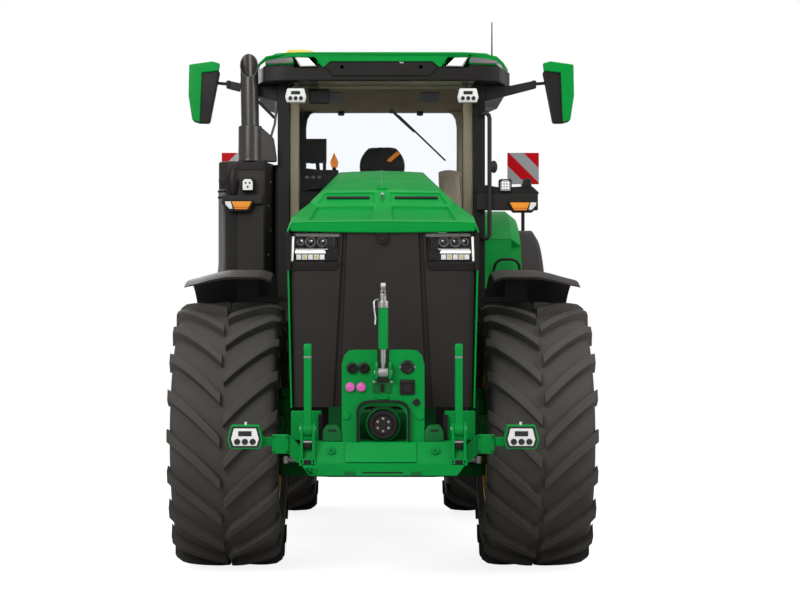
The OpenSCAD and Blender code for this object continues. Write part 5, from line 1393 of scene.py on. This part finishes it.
@dataclass
class SideLamps:
    """Lamps on the cab's brackets, warning panels, receiver dome and antenna."""
    bracket: float = 2325
    panel_x: float = 1180
    panel: float = 260
    panel_z: float = 2640

    def lamps(self) -> None:
        """Lamps beside the cab, on the hitch and on the rear fenders, with the bracket's cover."""
        shape = Shape()
        self.cluster(shape, 1, (862, ahead(-1300), 2460), 60)
        self.cluster(shape, -1, (-919, ahead(-1165), 2456), 40)
        arm = [(671, 2385), (671, 2448), (731, 2466), (800, 2452), (919, 2452), (1046, 2460), (1100, 2412),
               (1084, 2385)]
        shape.prism(arm, "Y", (ahead(-1246), ahead(-1298)), 8, 0)
        shape.block((985, 1046), (ahead(-1240), ahead(-1290)), (2436, 2512), 18, 0)
        for s in SIDES:
            lamp_face(shape, (s * 750, ahead(1450), 897), 192, 130, 3, 4, 5, 84)
            shape.rod((s * 748, ahead(1420), 958), (s * 748, ahead(1420), 978), 7, bevel=1, tint=4)
            fender_block(shape, s, (864, 1046), (1107, 1193), (58.1, 60.3), 6)
        shape.piece("lamps", "chassis",
                    [TRIM, LED, AMBER, CAST_PAINT, WHITE, SCREEN, RED_LENS, ORANGE, GREY_SHEET],
                    ["work_lamps", "road_lamps"])

    def cluster(self, shape: Shape, s: int, at: Point, out: float) -> None:
        """Square work lamp with the indicator below it, on one side of the cab.

        Args:
            shape: Shape that takes them.
            s: Side of the tractor.
            at: Middle of the work lamp's back.
            out: How far before that the indicator stands.
        """
        x, y, z = at
        shape.block(about(x, 45), (y - 72, y - 1), about(z, 46), 12, 0)
        face = [(x + s * a * 35, z + b * 38) for a, b in ((-1, 0.5), (-0.6, 1), (0.6, 1), (1, 0.6), (1, -1),
                                                          (-1, -1))]
        shape.prism(face, "Y", (y - 74, y - 66), 4, 4 if s < 0 else 8)
        grid = [(19 * i, 19 * j) for i in (-1, 0, 1) for j in (-1, 0, 1)]
        for a, b in ((-14, 12), (14, 12), (0, -14)) if s < 0 else grid:
            shape.lathe([(7, 0), (7, -3), (5, -4), (0, -2)], (x + a, y - 74, z + b), "Y", 12,
                        tint=5 if s < 0 else 1)
        front, low = y - out, self.bracket - 46
        case = ((878, 64), (896, 12), (914, -8), (1046, -8), (1076, 22), (1090, 64), (1070, 76), (890, 76))
        shape.prism([(s * a, low + b) for a, b in case], "Y", (front - 22, front + 20), 6, 0)
        for run, deep, tint in ((((892, 62), (912, 22), (1014, 22), (1030, 62)), 30, 2),
                                (((914, 20), (922, 8), (1008, 8), (1014, 20)), 29, 7),
                                (((1036, 62), (1022, 12), (1044, 10), (1072, 40), (1076, 62)), 29, 4)):
            shape.prism([(s * a, low + b) for a, b in run], "Y", (front - deep, front - 16), 2.5, tint)
        for k in range(4):
            shape.block(about(s * (932 + 26 * k), 3), (front - 31.5, front - 28), (low + 26, low + 42), 1, 7)

    def panels(self) -> None:
        """Warning panels: a sheet cut along its slanted stripes."""
        shape = Shape()
        behind, fender_r = 500, 1167
        upper, middle, lower = 94, 8, -74
        y = REAR_Y + behind
        for s in SIDES:
            x0 = s * self.panel_x
            faces = shape.block((x0 - self.panel / 2, x0 + self.panel / 2), (y - 12, y),
                                (self.panel_z, self.panel_z + self.panel), 2)
            slope = Vector((s, 0, 1)).normalized()
            mid = Vector((x0, y, self.panel_z + self.panel / 2))
            for k in (upper, middle, lower):
                edges = {e for f in faces for e in f.edges}
                verts = {v for f in faces for v in f.verts}
                cut = bmesh.ops.bisect_plane(shape.bm, geom=[*faces, *edges, *verts],
                                             plane_co=mid + slope * k, plane_no=slope)
                faces = only(cut["geom"], bmesh.types.BMFace)
            for f in faces:
                far = (f.calc_center_median() - mid).dot(slope)
                f.material_index = 0 if far > upper or lower < far < middle else 1
            foot = REAR_Z + math.sqrt(fender_r ** 2 - behind ** 2)
            shape.block(about(x0, 14), (y + 1, y + 28), (foot - 6, self.panel_z + 140), 5, 2)
            shape.block(about(x0, 60), (y + 1, y + 8), (self.panel_z + 90, self.panel_z + 130), 3, 2)
        shape.piece("warning_boards", "chassis", [RED_SHEET, GREY_SHEET, POWDER],
                    ["warning_panels"])

    def roof_fittings(self) -> None:
        """Receiver dome and whip antenna on the roof."""
        shape = Shape()
        shape.lathe([(120, 0), (122, 16), (116, 36), (98, 52), (60, 59), (0, 61)], (-580, ahead(-1450), 3370),
                    "Z", 56)
        shape.lathe([(28, 0), (28, 10), (18, 16), (10, 24), (0, 24)], (-735, ahead(-1500), 3366), "Z", 24,
                    tint=1)
        shape.lathe([(28, 0), (28, 20), (14, 34), (8, 60), (5.5, 90), (4, 318), (0, 320)],
                    (806, ahead(-1800), 3370), "Z", 20, tint=1)
        shape.block((742, 846), (ahead(-1760), ahead(-1850)), (3362, 3384), 8, 1)
        shape.piece("receiver_and_antenna", "chassis", [DOME, TRIM], ["roof_receiver"])

    def build(self) -> None:
        """Builds the lamps, panels and roof fittings."""
        self.lamps()
        self.panels()
        self.roof_fittings()


@dataclass
class Chassis:
    """Running gear, engine, tanks, rear fenders and the rear hitch."""
    stay: float = 1290
    gearbox_end: float = 2015
    pto_z: float = 700
    plain: tuple = (
        ("front_axle", "chassis", "cast_green", DARK_PAINT, 8),
        ("front_frame", "chassis", "cast_green", DARK_PAINT, 5),
        ("steering_rod", "steering_link", "bright_steel", STEEL, 3),
        ("engine", "chassis", "engine_grey", IRON, 8),
        ("gearbox", "chassis", "cast_green", DARK_PAINT, 14),
        ("fuel_tank", "chassis", "black_plastic", PLASTIC, 40),
        ("tool_box", "chassis", "black_plastic", PLASTIC, 24),
        ("rear_fenders", "chassis", "body_green", PAINT, 8),
        ("fender_extensions", "chassis", "black_plastic", PLASTIC, 4),
        ("rear_links", "rear_lower_links", "black_steel", POWDER, 5),
        ("lift_arms", "rear_lift_arms", "cast_green", DARK_PAINT, 6),
        ("lift_rods", "rear_lift_rods", "bright_steel", STEEL, 3),
        ("drawbar", "chassis", "black_steel", POWDER, 5))

    def build(self) -> None:
        """Rounds the castings and panels, and builds the knuckles, grab handles, fan and rear fittings."""
        for node, body, slot, finish, bevel in self.plain:
            rounded(node, body, finish, bevel)
        for name in ("left", "right"):
            self.knuckle(name)
        self.grab_handles()
        self.fan_shroud()
        self.rear_fittings()

    def knuckle(self, name: str) -> None:
        """Knuckle in enamel, with the fender's stay above it in powder coat."""
        knuckle = Shape()
        knuckle.node(f"knuckle_{name}", 8)
        bmesh.ops.bisect_plane(knuckle.bm, geom=whole(knuckle.bm), plane_co=(0, 0, self.stay),
                               plane_no=(0, 0, 1))
        for f in knuckle.bm.faces:
            f.material_index = 1 if f.calc_center_median().z > self.stay else 0
        knuckle.piece(f"knuckle_{name}_casting", f"steering_knuckle_{name}",
                      [DARK_PAINT, POWDER], [f"knuckle_{name}"])

    def grab_handles(self) -> None:
        """Bent tubes on the rear fenders, beside the cab."""
        loops = Shape()
        half = [(845, 730, 1896), (845, 690, 1906), (852, 674, 1936), (872, 666, 1962), (905, 664, 1974)]
        loops.pipe(half + [(1880 - x, y, z) for x, y, z in reversed(half)], 11, 12)
        loops.mirror()
        loops.piece("fender_grab_handles", "chassis", [POWDER])

    def fan_shroud(self) -> None:
        """Screen before the cooling pack, and the fan in its shroud behind it."""
        shape = Shape()
        y, wide, low, high = ahead(882), 410, 1100, 1880
        for s in SIDES:
            shape.block((s * (wide - 14), s * (wide + 14)), (y - 12, y + 2), (low - 14, high + 14), 4)
        for k in range(27):
            z = low + (high - low) * k / 26
            tall = 14 if k % 13 == 0 else 5
            shape.block((-wide, wide), (y - 10, y + 1), (z - tall, z + tall), 2, 0 if k % 13 == 0 else 1)
        centre = (0, ahead(700), 1400)
        shape.lathe([(300, -60), (318, -60), (322, 10), (300, 70), (288, 70), (306, 8)], centre, "Y", 48,
                    closed=True)
        shape.lathe([(70, -30), (70, 26), (56, 34), (0, 34)], centre, "Y", 32, tint=1)
        for k in range(8):
            turn = Matrix.Rotation(math.radians(45 * k), 4, "Y")
            faces = shape.prism([(-34, 62), (34, 62), (58, 290), (-26, 290)], "Y", (-8, 8), 3, 1)
            shape.warp(faces, lambda p: Vector(centre) + turn @ Vector((p.x, p.y + p.x * 0.3, p.z)))
        for s in SIDES:
            shape.pipe([(s * 150, ahead(730), 1660), (s * 170, ahead(690), 1690),
                        (s * 180, ahead(640), 1690)], 30, 16, 2)
        shape.piece("fan_and_shroud", "chassis", [PLASTIC, POWDER, TRIM])

    def rear_fittings(self) -> None:
        """Hose couplers, guard over the power take-off, tank cap, rear work lamps and tail lamps."""
        shape = Shape()
        y = self.gearbox_end
        for s in SIDES:
            self.rear_side(shape, s)
        shape.lathe([(26, -4), (78, -4), (78, 14), (70, 20), (26, 20)], (0, y, self.pto_z), "Y", 40,
                    closed=True)
        guard = [circle(150, 15 * k) for k in range(13)]
        rim = guard + [(0.96 * x, 0.96 * z) for x, z in reversed(guard)]
        shape.prism([(x, z + self.pto_z) for x, z in rim], "Y", (y - 2, y + 170), 2)
        shape.lathe([(58, 0), (58, 18), (50, 30), (0, 32)], (610, 330, 1330), "X", 32)
        for k in range(6):
            along, up = circle(40, 60 * k)
            shape.block((636, 646), about(330 + along, 6), about(1330 + up, 6), 2)
        shape.piece("rear_fittings", "chassis",
                    [TRIM, STEEL, PINK, AMBER, GREY_SHEET, RED_LENS, LED])

    def rear_side(self, shape: Shape, s: int) -> None:
        """Couplers, roof work lamp and tail lamps of one side."""
        y = self.gearbox_end
        shape.block(about(s * 147, 92), (y - 4, y + 44), (1150, 1330), 8)
        for i in range(3):
            for z in (1195, 1285):
                x = s * 147 + 58 * (i - 1)
                shape.lathe([(24, 40), (24, 70), (19, 76), (19, 92), (24, 94), (24, 104), (0, 106)],
                            (x, y, z), "Y", 20, tint=1)
                shape.ball((x, y + 104, z), (21, 9, 21), 2 + (i + (z > 1200)) % 2, 6)
        shape.block(about(s * 560, 82), (1610, 1650), (3186, 3268), 10)
        shape.block(about(s * 560, 70), (1646, 1654), (3196, 3258), 4, 4)
        for k in range(4):
            x = s * 560 - 48 + 32 * k
            shape.lathe([(12, 0), (12, 4), (9, 6), (0, 5)], (x, 1652, 3227), "Y", 16, tint=6)
        fender_block(shape, s, (476, 742), (1176, 1194), (52.6, 58), 0)
        for x0, x1, tint in ((482, 562, 5), (568, 650, 3), (656, 736, 5)):
            fender_block(shape, s, (x0, x1), (1190, 1204), (53, 57.6), tint)


@dataclass
class Studio:
    """Camera, plain pale floor and soft light, in metres."""
    lens_mm: float = 79.2
    sensor_mm: float = 36.0
    shift: Pair = (0.0316, 0.01875)
    camera_x: float = -0.046
    camera_z: float = 1.56
    # Distance from the camera to the front axle
    distance: float = 11.0
    # How brightly the camera sees the floor by itself, and the radii over which it fades into the white
    floor_lift: float = 0.87
    floor_fade: Pair = (3.6, 7.0)
    # Name, place, aim, size and power of each soft light
    lights: tuple = (
        ("ceiling_softbox", (0, -0.5, 9.5), (0, 0, 1), (9, 11), 380),
        ("front_softbox", (-4.5, -10, 6.5), (0, -1, 1.6), (5, 5), 540),
        ("side_softbox", (7.5, -5, 5), (0, 0, 1.5), (5, 5), 260),
        ("rear_softbox", (-4, 9, 6), (0, 1, 1.5), (6, 5), 320))

    def camera(self) -> None:
        """Puts the camera where the photograph was taken from."""
        data = bpy.data.cameras.new("front_camera")
        data.lens, data.sensor_width = self.lens_mm, self.sensor_mm
        data.shift_x, data.shift_y = self.shift
        data.clip_end = 200
        obj = bpy.data.objects.new("front_camera", data)
        obj.location = (self.camera_x, FRONT_Y * MM - self.distance, self.camera_z)
        obj.rotation_euler = (math.pi / 2, 0, 0)
        bpy.context.scene.collection.objects.link(obj)
        bpy.context.scene.camera = obj

    def world(self) -> None:
        """White surroundings, with a plain level of light on the object."""
        world = bpy.data.worlds.new("studio")
        bpy.context.scene.world = world
        world.use_nodes = True
        tree = world.node_tree
        tree.nodes.clear()
        path = add(tree, "ShaderNodeLightPath")
        rays = {0: path.outputs["Is Camera Ray"], 1: path.outputs["Is Transmission Ray"]}
        seen = add(tree, "ShaderNodeMath", rays, operation="MAXIMUM")
        level = add(tree, "ShaderNodeMapRange", {"Value": seen.outputs[0], "To Min": 0.5, "To Max": 1.0})
        back = add(tree, "ShaderNodeBackground", {"Color": (1, 1, 1, 1), "Strength": level.outputs["Result"]})
        add(tree, "ShaderNodeOutputWorld", {"Surface": back.outputs[0]})

    def lamp(self, name: str, at: Point, aim: Point, size: Pair, power: float) -> None:
        """Adds a soft area light."""
        data = bpy.data.lights.new(name, "AREA")
        data.shape, data.size, data.size_y, data.energy = "RECTANGLE", *size, power
        obj = bpy.data.objects.new(name, data)
        obj.location = at
        obj.rotation_euler = (Vector(aim) - Vector(at)).to_track_quat("-Z", "Y").to_euler()
        bpy.context.scene.collection.objects.link(obj)

    def floor(self) -> None:
        """A pale disc that keeps the shadow and fades into the white surroundings."""
        bm = bmesh.new()
        bmesh.ops.create_circle(bm, cap_ends=True, segments=96, radius=14)
        mesh = bpy.data.meshes.new("studio_floor")
        bm.to_mesh(mesh)
        bm.free()
        mat = bpy.data.materials.new("painted_studio_floor")
        mat.use_nodes = True
        tree = mat.node_tree
        tree.nodes.clear()
        seen = add(tree, "ShaderNodeLightPath").outputs["Is Camera Ray"]
        place = add(tree, "ShaderNodeTexCoord").outputs["Object"]
        grain = add(tree, "ShaderNodeTexNoise", {"Vector": place, "Scale": 2.0})
        shade = add(tree, "ShaderNodeMapRange", {"Value": grain.outputs["Fac"], "To Min": 0.4,
                                                 "To Max": 0.42})
        paint = add(tree, "ShaderNodeBsdfDiffuse", {"Color": shade.outputs["Result"]})
        glow = add(tree, "ShaderNodeMath", {0: seen, 1: self.floor_lift}, operation="MULTIPLY")
        lift = add(tree, "ShaderNodeEmission", {"Strength": glow.outputs[0]})
        both = add(tree, "ShaderNodeAddShader", {0: paint.outputs[0], 1: lift.outputs[0]})
        far = add(tree, "ShaderNodeVectorMath", {0: place}, operation="LENGTH")
        near, end = self.floor_fade
        fade = add(tree, "ShaderNodeMapRange", {"Value": far.outputs["Value"], "From Min": near,
                                                "From Max": end}, interpolation_type="SMOOTHSTEP")
        clear = add(tree, "ShaderNodeBsdfTransparent")
        mix = add(tree, "ShaderNodeMixShader", {0: fade.outputs["Result"], 1: both.outputs[0],
                                                2: clear.outputs[0]})
        add(tree, "ShaderNodeOutputMaterial", {"Surface": mix.outputs[0]})
        mesh.materials.append(mat)
        obj = bpy.data.objects.new("studio_floor", mesh)
        bpy.context.scene.collection.objects.link(obj)

    def build(self) -> None:
        """Sets the whole studio up."""
        bpy.context.scene.view_settings.view_transform = "Standard"
        self.camera()
        self.world()
        self.floor()
        for light in self.lights:
            self.lamp(*light)


SLOT_FINISH: dict[str, Finish] = {
    "tyre_rubber": RUBBER, "rim_yellow": RIM_PAINT, "cast_green": DARK_PAINT, "body_green": PAINT,
    "black_plastic": PLASTIC, "black_steel": POWDER, "bright_steel": STEEL, "engine_grey": IRON,
    "cab_glass": GLASS, "lamp_clear": WHITE, "lamp_amber": AMBER, "seat_fabric": CLOTH,
    "panel_stripe": RED_SHEET, "dome_yellow": DOME}


def dress_solids() -> None:
    """Gives every solid that still shows the finish of its slot."""
    for part in frame["record"]["subparts"]:
        obj = frame["nodes"][part["node"]]
        if obj.hide_render:
            continue
        finish = SLOT_FINISH[part["material_slot"]]
        obj.data.materials.clear()
        obj.data.materials.append(finish.material())
        LOG.info("%s keeps its solid, in %s", part["node"], finish.name)


def main() -> None:
    """Builds the tractor's pieces in order."""
    logging.basicConfig(level=logging.INFO, format="%(name)s %(message)s")
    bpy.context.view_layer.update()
    Studio().build()
    for side, name in ((1, "left"), (-1, "right")):
        Wheel(f"front_{name}", side, radius=822, width=650, rim=432, track=1870, y=FRONT_Y, lugs=20, disc=80,
              hub=165, hub_out=190).build()
        Wheel(f"rear_{name}", side, radius=REAR_Z, width=710, rim=533.5, track=1720, y=REAR_Y, lugs=22,
              disc=60, hub=150, hub_out=130).build(shaft=(431, 1155))
        FrontFender(side).build()
    Hood().build()
    FrontHitch().build()
    Cab().build()
    Exhaust().build()
    SideLamps().build()
    Chassis().build()
    dress_solids()


if __name__ == "__main__":
    main()
